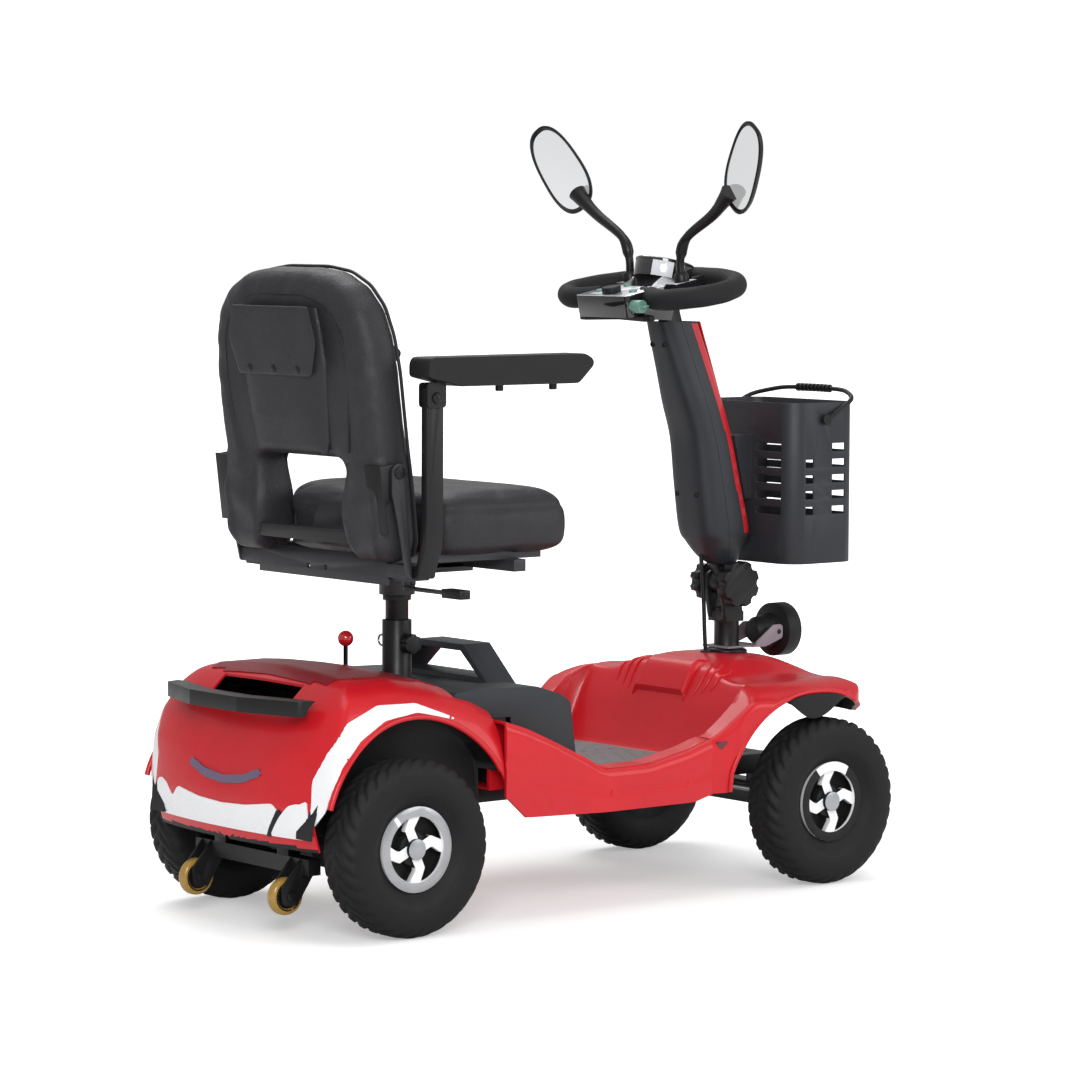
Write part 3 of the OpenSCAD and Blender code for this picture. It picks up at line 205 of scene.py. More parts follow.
looks = {
    "candyRed": dict(colour=(0.60, 0.010, 0.018), patch=(0.47, 0.006, 0.012), rough=0.34, spread=0.06, scale=6,
        amount=0.5, coat=0.2, grain=90, depth=0.00006, cells=0.2, waves=0.6, dust=0.0, specular=0.3),
    "deepRed": dict(colour=(0.23, 0.008, 0.014), patch=(0.16, 0.005, 0.009), rough=0.42, scale=6, coat=0.1,
        grain=90, depth=0.00005, cells=0.2, waves=0.5, dust=0.0, specular=0.2),
    "stripRed": dict(colour=(0.58, 0.014, 0.024), patch=(0.47, 0.01, 0.016), rough=0.3, scale=9, coat=0.4,
        grain=300, depth=0.00008, dust=0.03),
    "darkMark": dict(colour=(0.10, 0.004, 0.008), rough=0.25, coat=0.5, grain=300, depth=0.00004),
    "silverTrim": dict(colour=(0.86, 0.87, 0.89), patch=(0.78, 0.79, 0.82), rough=0.26, coat=0.5, scale=14,
        grain=200, depth=0.00005, dust=0.04),
    "lensBlue": dict(colour=(0.10, 0.075, 0.16), patch=(0.15, 0.06, 0.13), rough=0.2, coat=0.9, scale=30,
        amount=0.6, grain=260, depth=0.0004, cells=1.0),
    "grainBlack": dict(colour=(0.010, 0.010, 0.011), patch=(0.015, 0.015, 0.017), rough=0.48, grain=900,
        depth=0.00022, dust=0.012, specular=0.24),
    "satinBlack": dict(colour=(0.008, 0.008, 0.009), patch=(0.013, 0.013, 0.015), rough=0.36, scale=40,
        grain=1300, depth=0.00010, dust=0.01, specular=0.3),
    "charcoal": dict(colour=(0.026, 0.029, 0.034), patch=(0.034, 0.037, 0.043), rough=0.45, grain=1100,
        depth=0.00024, dust=0.015, specular=0.3),
    "slate": dict(colour=(0.023, 0.025, 0.030), patch=(0.030, 0.032, 0.038), rough=0.42, grain=1100,
        depth=0.0002, dust=0.012, specular=0.3),
    "armour": dict(colour=(0.030, 0.031, 0.035), patch=(0.022, 0.023, 0.026), rough=0.4, scale=30, grain=900,
        depth=0.00014, dust=0.02, metallic=0.2),
    "vinyl": dict(colour=(0.026, 0.025, 0.029), patch=(0.019, 0.0185, 0.022), rough=0.46, spread=0.12,
        scale=16, grain=520, depth=0.00045, cells=1.0, waves=0.9, dust=0.012, specular=0.28),
    "vinylDark": dict(colour=(0.014, 0.0135, 0.016), patch=(0.02, 0.0195, 0.023), rough=0.5, scale=16, grain=520,
        depth=0.0004, cells=1.0, waves=0.8, dust=0.01, specular=0.3),
    "rubberMat": dict(colour=(0.150, 0.140, 0.146), patch=(0.118, 0.110, 0.115), rough=0.62, scale=24, grain=800,
        depth=0.0003, dust=0.06),
    "tread": dict(colour=(0.009, 0.0092, 0.0102), patch=(0.014, 0.014, 0.0155), rough=0.58, scale=26, grain=700,
        depth=0.00035, dust=0.03, specular=0.2),
    "foam": dict(colour=(0.012, 0.012, 0.0135), patch=(0.018, 0.018, 0.02), rough=0.72, scale=60, grain=1500,
        depth=0.0003, cells=1.2, dust=0.01, specular=0.25),
    "rimWhite": dict(colour=(0.90, 0.90, 0.90), patch=(0.84, 0.84, 0.85), rough=0.3, scale=30, coat=0.4,
        grain=500, depth=0.00008, dust=0.02),
    "pearl": dict(colour=(0.74, 0.75, 0.78), patch=(0.66, 0.67, 0.71), rough=0.14, scale=12, coat=0.9, grain=120,
        depth=0.00003, dust=0.02),
    "pianoBlack": dict(colour=(0.010, 0.010, 0.012), rough=0.1, scale=12, coat=1.0, grain=120, depth=0.00003,
        dust=0.04),
    "castGrey": dict(colour=(0.025, 0.025, 0.028), patch=(0.04, 0.04, 0.042), rough=0.5, scale=40, grain=420,
        depth=0.0004, dust=0.05, metallic=0.4),
    "finAlloy": dict(colour=(0.26, 0.27, 0.29), patch=(0.20, 0.21, 0.22), rough=0.38, scale=40, grain=900,
        depth=0.00012, metallic=0.9),
    "zinc": dict(colour=(0.47, 0.48, 0.50), patch=(0.36, 0.37, 0.39), rough=0.3, scale=60, grain=900,
        depth=0.00008, metallic=0.95),
    "cellBlue": dict(colour=(0.02, 0.12, 0.28), rough=0.3, grain=500, depth=0.00005),
    "amber": dict(colour=(0.52, 0.30, 0.035), patch=(0.40, 0.20, 0.02), rough=0.28, scale=40, coat=0.4,
        grain=400, depth=0.0001, transmission=0.25),
    "ballRed": dict(colour=(0.55, 0.008, 0.012), rough=0.14, coat=0.9, grain=200, depth=0.00003, dust=0.02),
    "keyGreen": dict(colour=(0.11, 0.26, 0.20), patch=(0.20, 0.36, 0.29), rough=0.3, scale=80, grain=900,
        depth=0.0001),
    "mauve": dict(colour=(0.24, 0.19, 0.22), patch=(0.18, 0.145, 0.17), rough=0.42, scale=30, grain=700,
        depth=0.0001),
    # the mirror glass also glows white: a painted reflection
    "mirrorGlass": dict(colour=(0.82, 0.84, 0.86), patch=(0.78, 0.80, 0.82), rough=0.03, spread=0.01,
        metallic=1.0, dust=0.01, paintedGlow=(1, 1, 1, 0.35)),
    "lensClear": dict(colour=(0.80, 0.85, 0.88), patch=(0.7, 0.75, 0.8), rough=0.08, coat=0.8, grain=160,
        depth=0.0003, cells=1.0, transmission=0.35),
    "faceWhite": dict(colour=(0.80, 0.81, 0.83), patch=(0.72, 0.73, 0.75), rough=0.2, coat=0.6, grain=300,
        depth=0.00004, dust=0.02),
}
finishes = {name: finishOf(name, **look) for name, look in looks.items()}
print("finishes made:", len(finishes))


def newPiece(name, points, faces, finish, body, stands=(), angle=38, extra=()):
    # points in millimetres become a mesh at the origin that rides on body and stands for the CAD nodes
    name = name.replace(" ", "_").replace("-", "m")
    mesh = bpy.data.meshes.new(name)
    faces = faces.tolist() if hasattr(faces, "tolist") else faces
    mesh.from_pydata((np.asarray(points, float) * mm).tolist(), [], faces)
    mesh.update()
    for key in (finish, *extra):
        mesh.materials.append(finishes[key])
    obj = bpy.data.objects.new(name, mesh)
    shown.objects.link(obj)
    smooth(obj, angle)
    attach(obj, body)
    if stands:
        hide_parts(*stands)
    return obj


def smooth(obj, angle=38):  # smooth shading with sharp edges past angle
    obj.data.polygons.foreach_set("use_smooth", np.ones(len(obj.data.polygons), bool))
    obj.data.set_sharp_from_angle(angle=radians(angle))


def gridFaces(rows, columns, wrapRows=False, wrapColumns=False, flip=False):
    # the quads of a rows by columns grid, each from a point to its neighbours in the next row and column
    down, along = rows if wrapRows else rows - 1, columns if wrapColumns else columns - 1
    i, j = np.meshgrid(np.arange(down), np.arange(along), indexing="ij")
    i2, j2 = (i + 1) % rows, (j + 1) % columns
    quads = np.stack([i * columns + j, i2 * columns + j, i2 * columns + j2, i * columns + j2], -1).reshape(-1, 4)
    return quads[:, ::-1] if flip else quads


def rebuild(obj):  # merges doubles and turns the faces outwards
    work = bmesh.new()
    work.from_mesh(obj.data)
    bmesh.ops.remove_doubles(work, verts=work.verts, dist=0.00002)
    bmesh.ops.dissolve_degenerate(work, edges=work.edges, dist=0.00001)
    bmesh.ops.recalc_face_normals(work, faces=work.faces)
    work.to_mesh(obj.data)
    work.free()
    return obj


def bake(obj):  # applies every modifier
    evaluated = obj.evaluated_get(bpy.context.evaluated_depsgraph_get())
    mesh = bpy.data.meshes.new_from_object(evaluated)
    obj.modifiers.clear()
    old = obj.data
    obj.data = mesh
    bpy.data.meshes.remove(old)
    return obj


def thicken(obj, thickness, offset=-1.0, inside=0):
    # a wall of even thickness, grown inwards at offset -1, whose inner faces take the material inside slots on
    modifier = obj.modifiers.new("wall", "SOLIDIFY")
    modifier.material_offset = inside
    modifier.thickness, modifier.offset, modifier.use_even_offset = thickness * mm, offset, True
    return obj


def roundEdges(obj, width, segments=2, angle=30):  # a small bevel on every edge sharper than angle
    modifier = obj.modifiers.new("edges", "BEVEL")
    modifier.width, modifier.segments, modifier.limit_method = width * mm, segments, "ANGLE"
    modifier.angle_limit, modifier.harden_normals, modifier.miter_outer = radians(angle), False, "MITER_ARC"
    modifier.use_clamp_overlap = True
    return obj


def roundedCopy(node, finish, width=1.0, segments=2, extra=(), angle=38, body=None):
    # a copy of a CAD node, its triangles merged into flat faces and its edges rounded
    mesh = frame["nodes"][node].data.copy()
    mesh.name = "shown_" + node
    work = bmesh.new()
    work.from_mesh(mesh)
    bmesh.ops.remove_doubles(work, verts=work.verts, dist=0.00003)
    bmesh.ops.dissolve_limit(work, angle_limit=radians(1.0), verts=work.verts, edges=work.edges)
    work.to_mesh(mesh)
    work.free()
    mesh.materials.clear()
    for key in (finish, *extra):
        mesh.materials.append(finishes[key])
    mesh.polygons.foreach_set("material_index", np.zeros(len(mesh.polygons), np.int32))
    obj = bpy.data.objects.new("shown_" + node, mesh)
    shown.objects.link(obj)
    if width:
        roundEdges(obj, width, segments)
        bake(obj)
    smooth(obj, angle)
    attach(obj, body or bodyOf[node])
    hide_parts(node)
    return obj


def paintFaces(obj, index, test):  # gives material index to the faces whose centre and normal pass test
    count = len(obj.data.polygons)
    centre, normal, slots = np.empty(count * 3), np.empty(count * 3), np.empty(count, np.int32)
    obj.data.polygons.foreach_get("center", centre)
    obj.data.polygons.foreach_get("normal", normal)
    obj.data.polygons.foreach_get("material_index", slots)
    slots[test(centre.reshape(-1, 3) / mm, normal.reshape(-1, 3))] = index
    obj.data.polygons.foreach_set("material_index", slots)


def curveThrough(points, steps=8, closed=False):  # a Catmull-Rom curve through the points
    points = np.asarray(points, float)
    count = len(points)
    spans = count if closed else count - 1
    t = np.linspace(0, 1, steps, endpoint=False)[None, :, None]
    index = np.arange(spans)
    pick = (lambda k: points[k % count]) if closed else (lambda k: points[np.clip(k, 0, count - 1)])
    a, b, c, d = (pick(index + k)[:, None, :] for k in (-1, 0, 1, 2))
    curve = 0.5 * (2 * b + (c - a) * t + (2 * a - 5 * b + 4 * c - d) * t ** 2 + (3 * b - a - 3 * c + d) * t ** 3)
    curve = curve.reshape(-1, points.shape[1])
    return curve if closed else np.vstack([curve, points[-1:]])


def sweep(path, radius, sides=16, closed=False, reference=(0, 0, 1)):
    # a circle carried along a path: centre + radius * (u cos a + v sin a), with u and v square to the path
    path = np.asarray(path, float)
    tangent = (np.roll(path, -1, 0) - np.roll(path, 1, 0)) if closed else np.gradient(path, axis=0)
    tangent /= np.linalg.norm(tangent, axis=1, keepdims=True)
    u = np.cross(tangent, np.asarray(reference, float))
    u /= np.linalg.norm(u, axis=1, keepdims=True)
    v = np.cross(tangent, u)
    a = np.linspace(0, 2 * pi, sides, endpoint=False)
    radius = np.broadcast_to(np.asarray(radius, float), (len(path),))[:, None, None]
    across, along = np.cos(a)[None, :, None], np.sin(a)[None, :, None]
    rings = path[:, None] + radius * (u[:, None] * across + v[:, None] * along)
    points = rings.reshape(-1, 3)
    faces = gridFaces(len(path), sides, wrapRows=closed, wrapColumns=True).tolist()
    if not closed:
        faces += [list(range(sides)), list(range((len(path) - 1) * sides, len(path) * sides))[::-1]]
    return points, faces


def merged(parts):  # several (points, faces) pairs as one
    points, faces, start = [], [], 0
    for p, f in parts:
        points.append(np.asarray(p, float))
        faces += [[int(k) + start for k in face] for face in f]
        start += len(p)
    return np.vstack(points), faces


def turned(profile, centre, steps=96, ripple=None):
    # a profile of (x, r) turned about the X axis through centre; ripple(x, angle, r) adds to the radius
    profile = np.asarray(profile, float)
    a = np.linspace(0, 2 * pi, steps, endpoint=False)[:, None]
    r = np.broadcast_to(profile[:, 1], (steps, len(profile)))
    if ripple is not None:
        r = r + ripple(profile[None, :, 0], a, r)
    points = np.stack([np.broadcast_to(profile[:, 0], r.shape), r * np.cos(a), r * np.sin(a)], -1)
    points = points + np.asarray(centre)
    return points.reshape(-1, 3), gridFaces(steps, len(profile), wrapRows=True, wrapColumns=True)


def softPath(points, radius, count=200, closed=False):
    # an outline resampled evenly, each place the mean of nine places up to radius before and after it
    points = np.asarray(points, float)
    if closed:
        points = np.vstack([points, points[:1]])
    length = np.r_[0, np.cumsum(np.linalg.norm(np.diff(points, axis=0), axis=1))]
    s = np.linspace(0, length[-1], count, endpoint=not closed)
    total = np.zeros((count, points.shape[1]))
    offsets = np.linspace(-radius, radius, 9)
    for offset in offsets:
        fade = np.clip(np.minimum(s, length[-1] - s) / radius, 0, 1)  # an open path keeps its ends
        at = (s + offset) % length[-1] if closed else s + offset * fade
        total += np.stack([np.interp(at, length, points[:, k]) for k in range(points.shape[1])], -1)
    return total / len(offsets)


bodyOf = {n: name for name, members in frame["record"]["behaviour"]["bodies"].items() for n in members}
sidesOf = (("left", 1), ("right", -1))

wheel = dict(rearY=410, frontY=-402, axleZ=130, planeX=224, tyreR=130, halfWidth=38, rimR=61, lugDepth=3.2,
    lugs=34, shadedRecessR=60, shadedRecessX=12.5, hubR=25, capR=10.6, capX=20)


def lugPattern(x, a, r):  # blocks of tread in two staggered rows, deepest on the crown
    row = np.where(x > 0, 0.0, pi)
    block = np.sin(wheel["lugs"] * a + 0.09 * np.abs(x) * wheel["lugs"] / 10 + row)
    crown = np.clip((r - 112) / 14, 0, 1) * np.clip((np.abs(x) - 1.5) / 2.0, 0, 1)
    side = np.clip((r - 104) / 8, 0, 1) * np.clip((126 - r) / 8, 0, 1) * np.clip((np.abs(x) - 26) / 6, 0, 1)
    split = np.clip(1.6 - np.abs(x), 0, 1) * np.clip((r - 120) / 5, 0, 1)  # the groove down the middle
    gaps, raised = 1 - np.clip(block * 5 + 2.2, 0, 1), np.clip(block * 4, 0, 1)
    return -wheel["lugDepth"] * gaps * crown + 0.9 * raised * side - wheel["lugDepth"] * 0.8 * split


def makeTyre(place, sign, y):  # a section from bead to bead, turned about the axle, with lugs on the crown
    h, rim, top = wheel["halfWidth"], wheel["rimR"], wheel["tyreR"]
    outer = softPath([(-h * 0.5, rim - 4), (-h * 0.62, rim + 6), (-h * 0.93, rim + 22), (-h, top * 0.72),
        (-h * 0.99, top * 0.83), (-h * 0.90, top * 0.93), (-h * 0.6, top - 0.3), (0, top), (h * 0.6, top - 0.3),
        (h * 0.90, top * 0.93), (h * 0.99, top * 0.83), (h, top * 0.72), (h * 0.93, rim + 22),
        (h * 0.62, rim + 6), (h * 0.5, rim - 4)], 5, 74)
    bead = [(h * 0.44, rim + 1), (0, rim + 3), (-h * 0.44, rim + 1)]
    ribs = np.where((np.abs(outer[:, 1] - 88) < 1.6) | (np.abs(outer[:, 1] - 79) < 1.0), 0.7, 0)
    outer[:, 0] += np.sign(outer[:, 0]) * ribs * (outer[:, 1] < 100)
    hub = (sign * wheel["planeX"], y, wheel["axleZ"])
    points, faces = turned(np.vstack([outer, bead])[::-1], hub, 300, lugPattern)
    obj = newPiece(f"tyre {place}", points, faces, "tread", bodyOf[f"tyre_{place}"], [f"tyre_{place}"], 50)
    rebuild(obj)
    smooth(obj, 50)


for side, sign in sidesOf:
    for end in ("front", "rear"):
        place = f"{end}_{side}"
        makeTyre(place, sign, wheel[end + "Y"])
        rim = roundedCopy(f"rim_{place}", "rimWhite", 1.0, 2, extra=("grainBlack", "zinc"))
        centre = np.array([sign * wheel["planeX"], wheel[end + "Y"], wheel["axleZ"]])
        reach = lambda c: np.hypot(c[:, 1] - centre[1], c[:, 2] - centre[2])
        outward = lambda c: (c[:, 0] - centre[0]) * sign
        # the rim's deep faces between the spokes take black: painted shade for the dark gaps
        paintFaces(rim, 1, lambda c, n: (reach(c) < wheel["shadedRecessR"]) & (outward(c) < wheel["shadedRecessX"]))
        paintFaces(rim, 1, lambda c, n: reach(c) < wheel["hubR"])
        paintFaces(rim, 2, lambda c, n: (reach(c) < wheel["capR"]) & (outward(c) > wheel["capX"]))
print("wheels made")

rear = dict(frontY=236.8, lowZ=131, topZ=378, cornerDrop=42, wall=3.2, archY=390, archZ=148, archR=168,
    stations=46, capRings=26, across=150)
rearHalf = [(231, 131), (236.5, 200), (234, 262), (226, 303), (215, 330), (202, 350), (182, 363), (156, 370),
    (92, 375), (0, 378)]  # X, Z of half the section
rearEdge = ([131, 160, 190, 260, 300, 335, 362, 380, 392],
    [567, 575, 578.5, 573, 563, 547, 527, 503, 470])  # Z, Y of the rear edge
deckRise = ([236, 270, 330, 400, 600], [330, 348, 366, 378, 378])  # Y, Z of the deck
archCutX = 199  # the arches are cut from here outwards


def rearSection(count):  # half the section from the skirt to the middle, then mirrored, evenly spaced
    half = softPath(rearHalf, 16, count // 2 + 1)
    return np.vstack([half, (half * [-1, 1])[-2::-1]])


def rearPoint(section, y):  # lifts a section's height so that its top follows the deck's rise at y
    rise = (np.interp(y, *deckRise) - rear["lowZ"]) / (rear["topZ"] - rear["lowZ"])
    return rear["lowZ"] + (section[:, 1] - rear["lowZ"]) * rise


def rearSurface():
    # rows of the section run back to its rear edge, then rings shrink to the bottom middle and close the back:
    # y = edge(z) - drop * (1 - sqrt(1 - k^2)) for a ring of scale k
    section = rearSection(rear["across"])
    low = rear["lowZ"]
    finish = np.interp(section[:, 1], *rearEdge) - rear["cornerDrop"]
    rows = []
    for u in np.linspace(0, 1, rear["stations"]):
        y = rear["frontY"] + u * (finish - rear["frontY"])
        rows.append(np.stack([section[:, 0], y, rearPoint(section, y)], -1))
    for phi in np.linspace(pi / 2, 0.02, rear["capRings"])[1:]:
        k = sin(phi)
        z = low + (section[:, 1] - low) * k
        rows.append(np.stack([section[:, 0] * k, np.interp(z, *rearEdge) -
            rear["cornerDrop"] * (1 - np.sqrt(1 - k * k)), z], -1))
    return np.array(rows)


def cutWith(obj, cutters):  # cuts solids out of obj; each cutter is (points, faces) in millimetres
    for points, faces in cutters:
        mesh = bpy.data.meshes.new("cutter")
        mesh.from_pydata((np.asarray(points) * mm).tolist(), [], [list(f) for f in faces])
        cutter = bpy.data.objects.new("cutter", mesh)
        shown.objects.link(cutter)
        rebuild(cutter)
        modifier = obj.modifiers.new("cut", "BOOLEAN")
        modifier.operation, modifier.object, modifier.solver = "DIFFERENCE", cutter, "EXACT"
        bake(obj)
        bpy.data.objects.remove(cutter)
        bpy.data.meshes.remove(mesh)
    return obj


def boxOf(x, y, z):  # a plain box
    points = [(i, j, k) for i in x for j in y for k in z]
    return points, [(0, 1, 3, 2), (4, 6, 7, 5), (0, 4, 5, 1), (2, 3, 7, 6), (0, 2, 6, 4), (1, 5, 7, 3)]


def discOf(x0, x1, y, z, r, steps=96):  # a round bar along X
    a = np.linspace(0, 2 * pi, steps, endpoint=False)
    ring = np.stack([np.zeros(steps), y + r * np.cos(a), z + r * np.sin(a)], -1)
    points = np.vstack([ring + [x0, 0, 0], ring + [x1, 0, 0]])
    ends = [list(range(steps)), list(range(steps, 2 * steps))[::-1]]
    return points, gridFaces(2, steps, wrapColumns=True).tolist() + ends


def gridOf(grid, flip=False):  # the points and quads of a grid of places
    return grid.reshape(-1, 3), gridFaces(grid.shape[0], grid.shape[1], flip=flip)


points, faces = gridOf(rearSurface())
rearShell = newPiece("rear body shell", points, faces, "candyRed", "chassis", ["rear_body_cover"], 30,
    extra=("grainBlack",))
rebuild(rearShell)
thicken(rearShell, rear["wall"], inside=1)
bake(rearShell)
arches = [discOf(x0, x1, rear["archY"], rear["archZ"], rear["archR"] - 1)
    for x0, x1 in ((archCutX, 300), (-300, -archCutX))]
batteryBay, handSlot = boxOf((-192, 192), (200, 298), (290, 420)), boxOf((-100, 100), (500, 552), (330, 420))
corners = [boxOf(x, (200, 300), (100, 165)) for x in ((-300, -215), (215, 300))]  # where the skirts meet it
cutWith(rearShell, [*arches, batteryBay, handSlot, *corners])
smooth(rearShell, 32)
paintFaces(rearShell, 1, lambda c, n: c[:, 2] < 137)


def patchOn(grid, keep, thickness, name, finish, stands=()):
    # the part of the rear surface where keep is true, with its own thickness
    flat = grid.reshape(-1, 3)
    faces = gridFaces(*grid.shape[:2])
    middle = flat[faces].mean(1)
    faces = faces[keep(middle)]
    used = np.unique(faces)
    lookup = np.full(len(flat), -1)
    lookup[used] = np.arange(len(used))
    obj = newPiece(name, flat[used], lookup[faces], finish, "chassis", stands, 30)
    rebuild(obj)
    thicken(obj, thickness, 1.0)
    bake(obj)
    smooth(obj, 40)
    return obj


behindAll, besideAll = 700.0, 320.0  # a panel starts here, clear of the body, before it is pressed on


def laidOn(target, outline, along, thickness, name, finish, stands=(), lift=0.25, size=5.0, place=None):
    # a flat grid inside an outline, its border points moved onto the outline, pressed onto the target along an
    # axis, or, with a place for each point, onto the nearest surface; then given its thickness
    edge = softPath(outline, 4, 160, closed=True)
    low, high = edge.min(0), edge.max(0)
    across, up = (np.arange(a, b + size, size) for a, b in zip(low, high))
    u, v = np.meshgrid(across, up, indexing="ij")
    inside = np.zeros(u.shape, bool)
    for a, b in zip(edge, np.roll(edge, -1, 0)):
        crossing = (a[1] > v) != (b[1] > v)
        inside ^= crossing & (u < (b[0] - a[0]) * (v - a[1]) / (b[1] - a[1] + 1e-9) + a[0])
    gapU, gapV = u[..., None] - edge[:, 0], v[..., None] - edge[:, 1]
    closest = np.argmin(gapU ** 2 + gapV ** 2, -1)
    distance = np.sqrt(np.min(gapU ** 2 + gapV ** 2, -1))
    snap = distance < size * 0.8
    u, v = np.where(snap, edge[closest, 0], u), np.where(snap, edge[closest, 1], v)
    kept = inside | snap
    faces = gridFaces(*u.shape)
    faces = faces[kept.ravel()[faces].all(1)]
    used = np.unique(faces)
    lookup = np.full(u.size, -1)
    lookup[used] = np.arange(len(used))
    flat = np.stack([u.ravel()[used], v.ravel()[used]], -1)
    start = {"Y": behindAll, "+X": besideAll, "-X": -besideAll}.get(along)
    points = place(flat) if place else np.insert(flat, 1 if along == "Y" else 0, start, axis=1)
    obj = newPiece(name, points, lookup[faces], finish, "chassis", stands, 35)
    rebuild(obj)
    press = obj.modifiers.new("press", "SHRINKWRAP")
    press.target, press.offset = target, lift * mm
    press.wrap_method = "NEAREST_SURFACEPOINT" if place else "PROJECT"
    if place:
        press.wrap_mode = "OUTSIDE_SURFACE"
    else:
        press.use_project_x, press.use_project_y = along != "Y", along == "Y"
        press.use_negative_direction = press.use_positive_direction = True
    solid = obj.modifiers.new("wall", "SOLIDIFY")
    solid.thickness, solid.offset = thickness * mm, 0.0
    bake(obj)
    smooth(obj, 45)
    return obj


rearTrim = dict(  # X, Z outlines, seen from behind
    panel=[(-176, 149), (-192, 152), (-194, 180), (-190, 206), (-168, 196), (-152, 172), (-120, 196), (-60, 188),
        (0, 185), (60, 188), (118, 196), (138, 178), (158, 197), (176, 203), (188, 198), (191, 176), (189, 149)],
    corner=[(-112, 149), (-136, 178), (-156, 196), (-174, 201), (-186, 196), (-190, 176), (-188, 149)],
    line=[(-102, 147), (-114, 147), (-142, 184), (-133, 190)],
    reflector=[(-86, 243), (-90, 232), (-50, 218), (0, 213), (50, 218), (90, 232), (86, 243), (48, 230), (0, 225),
        (-48, 230)])
laidOn(rearShell, rearTrim["panel"], "Y", 3.2, "bumper panel", "silverTrim", ["rear_trim_inserts"])
laidOn(rearShell, rearTrim["corner"], "Y", 4.4, "bumper corner right", "silverTrim")
laidOn(rearShell, rearTrim["line"], "Y", 3.8, "bumper line", "grainBlack", size=2.5)
laidOn(rearShell, rearTrim["reflector"], "Y", 3.6, "rear reflector", "lensBlue", size=3.0)

deckPanel = dict(frontY=302, backY=494, lowZ=340, thickness=1.6, halfWidth=([302, 420, 520], [150, 158, 140]))


def onDeck(c):  # true for places inside the deck panel
    narrow = np.abs(c[:, 0]) < np.interp(c[:, 1], *deckPanel["halfWidth"])
    between = (c[:, 1] > deckPanel["frontY"]) & (c[:, 1] < deckPanel["backY"])
    return narrow & between & (c[:, 2] > deckPanel["lowZ"])


patchOn(rearSurface(), onDeck, deckPanel["thickness"], "rear deck panel", "deepRed", ["rear_top_panel"])


def wallX(y, z):  # how far out the rear body's side stands at a height
    section = rearSection(rear["across"])[: rear["across"] // 2]
    rise = (np.interp(y, *deckRise) - rear["lowZ"]) / (rear["topZ"] - rear["lowZ"])
    return np.interp(rear["lowZ"] + (z - rear["lowZ"]) / rise, section[:, 1], section[:, 0])


def archArc(r, a0, a1, count):  # places (Y, Z) on a circle about the rear arch's centre
    a = np.radians(np.linspace(a0, a1, count))
    return np.stack([rear["archY"] + r * np.cos(a), rear["archZ"] + r * np.sin(a)], -1)


trimBand = ((5, 18, 22), (12, 12, 40), (24, 10, 50), (38, 10, 49), (54, 10, 42), (72, 10, 33), (92, 9, 22),
    (114, 9, 12))  # angle, and how far its two edges stand from the arch
rearCorner = dict(y=528, r=42, side=40, end=62, gap=5)

for side, sign in sidesOf:
    lip = archArc(rear["archR"] + 1, 2, 178, 60)
    lip = lip[(lip[:, 0] > 238) & (lip[:, 0] < 553)]
    lip = np.stack([sign * (wallX(lip[:, 0], lip[:, 1]) - 1.5), lip[:, 0], lip[:, 1]], -1)
    points, faces = sweep(lip, 4.2, 12, reference=(1, 0, 0))
    newPiece(f"rear arch lip {side}", points, faces, "candyRed", "chassis")
    near = [archArc(rear["archR"] + gap, a, a, 1)[0] for a, gap, _ in trimBand]
    far = [archArc(rear["archR"] + gap, a, a, 1)[0] for a, _, gap in trimBand]

    def aside(flat, sign=sign):  # a little outside the body's wall, bent round the rear corner
        bend = np.clip(flat[:, 0] - rearCorner["y"], 0, rearCorner["end"]) / rearCorner["side"]
        x = wallX(flat[:, 0], flat[:, 1]) + rearCorner["gap"] - rearCorner["side"] * (1 - np.cos(bend))
        y = np.where(bend > 0, rearCorner["y"] + rearCorner["r"] * np.sin(bend), flat[:, 0])
        return np.stack([sign * x, y, flat[:, 1]], -1)

    laidOn(rearShell, near + far[::-1], "", 3.0, f"arch trim {side}", "silverTrim", size=4.0, place=aside)
print("rear body made")

front = dict(backY=-166.0, noseY=-506.0, wall=3.0, archY=-362.0, archZ=134.0, archR=170.0)
hoodProfile = ([-506, -495, -475, -430, -345, -285, -240, -190, -166],
    [262, 292, 318, 345, 348, 329, 297, 257, 243])  # Y, Z
wellFloor = ([-330, -300, -280, -258, -236, -214, -206, -160],
    [420, 345, 316, 282, 236, 200, 197.9, 197.9])  # Y, Z
hoodAcross = ([0, 50, 75, 98, 124, 150, 190, 215, 236, 252],
    [349, 347, 342, 332, 319, 315, 317, 312, 302, 286])  # X, Z
hoodWidth = ([-506, -500, -490, -475, -455, -430, -300, -215, -185, -166],
    [130, 172, 208, 233, 246, 252, 252, 248, 240, 236])  # Y, X
cableHole = dict(x=2, y=-360, r=4.6)


def smoothMin(a, b, k=10.0):  # the lower of two heights, rounded where they meet
    h = np.clip(0.5 + 0.5 * (b - a) / k, 0, 1)
    return b + (a - b) * h - k * h * (1 - h)


def averaged(x, xs, ys, r):  # a row of straight lines, its corners rounded by the mean of seven readings
    return sum(np.interp(x + o, xs, ys) for o in np.linspace(-r, r, 7)) / 7


def hoodHeight(x, y):
    # the lower of the profile along the body and the profile across it, and of the footwell between the sides
    outer = smoothMin(averaged(y, *hoodProfile, 12), averaged(np.abs(x), *hoodAcross, 8))
    well = averaged(y, *wellFloor, 5) + np.clip((np.abs(x) - 184) / 9, 0, 30) ** 1.3 * 26
    return smoothMin(outer, well, 9.0)


def hoodLow(y):  # the lower edge: the wheel arch, the nose's lip and the sill
    arch = front["archZ"] + np.sqrt(np.clip(front["archR"] ** 2 - (y - front["archY"]) ** 2, 0, None))
    ahead = np.clip((front["archY"] - y) / 130, 0, 1)
    low = np.where(y < front["archY"], 304 - 42 * ahead ** 2.4, arch)
    return np.where(y > front["archY"] + front["archR"] - 7.5, 160.0, low)


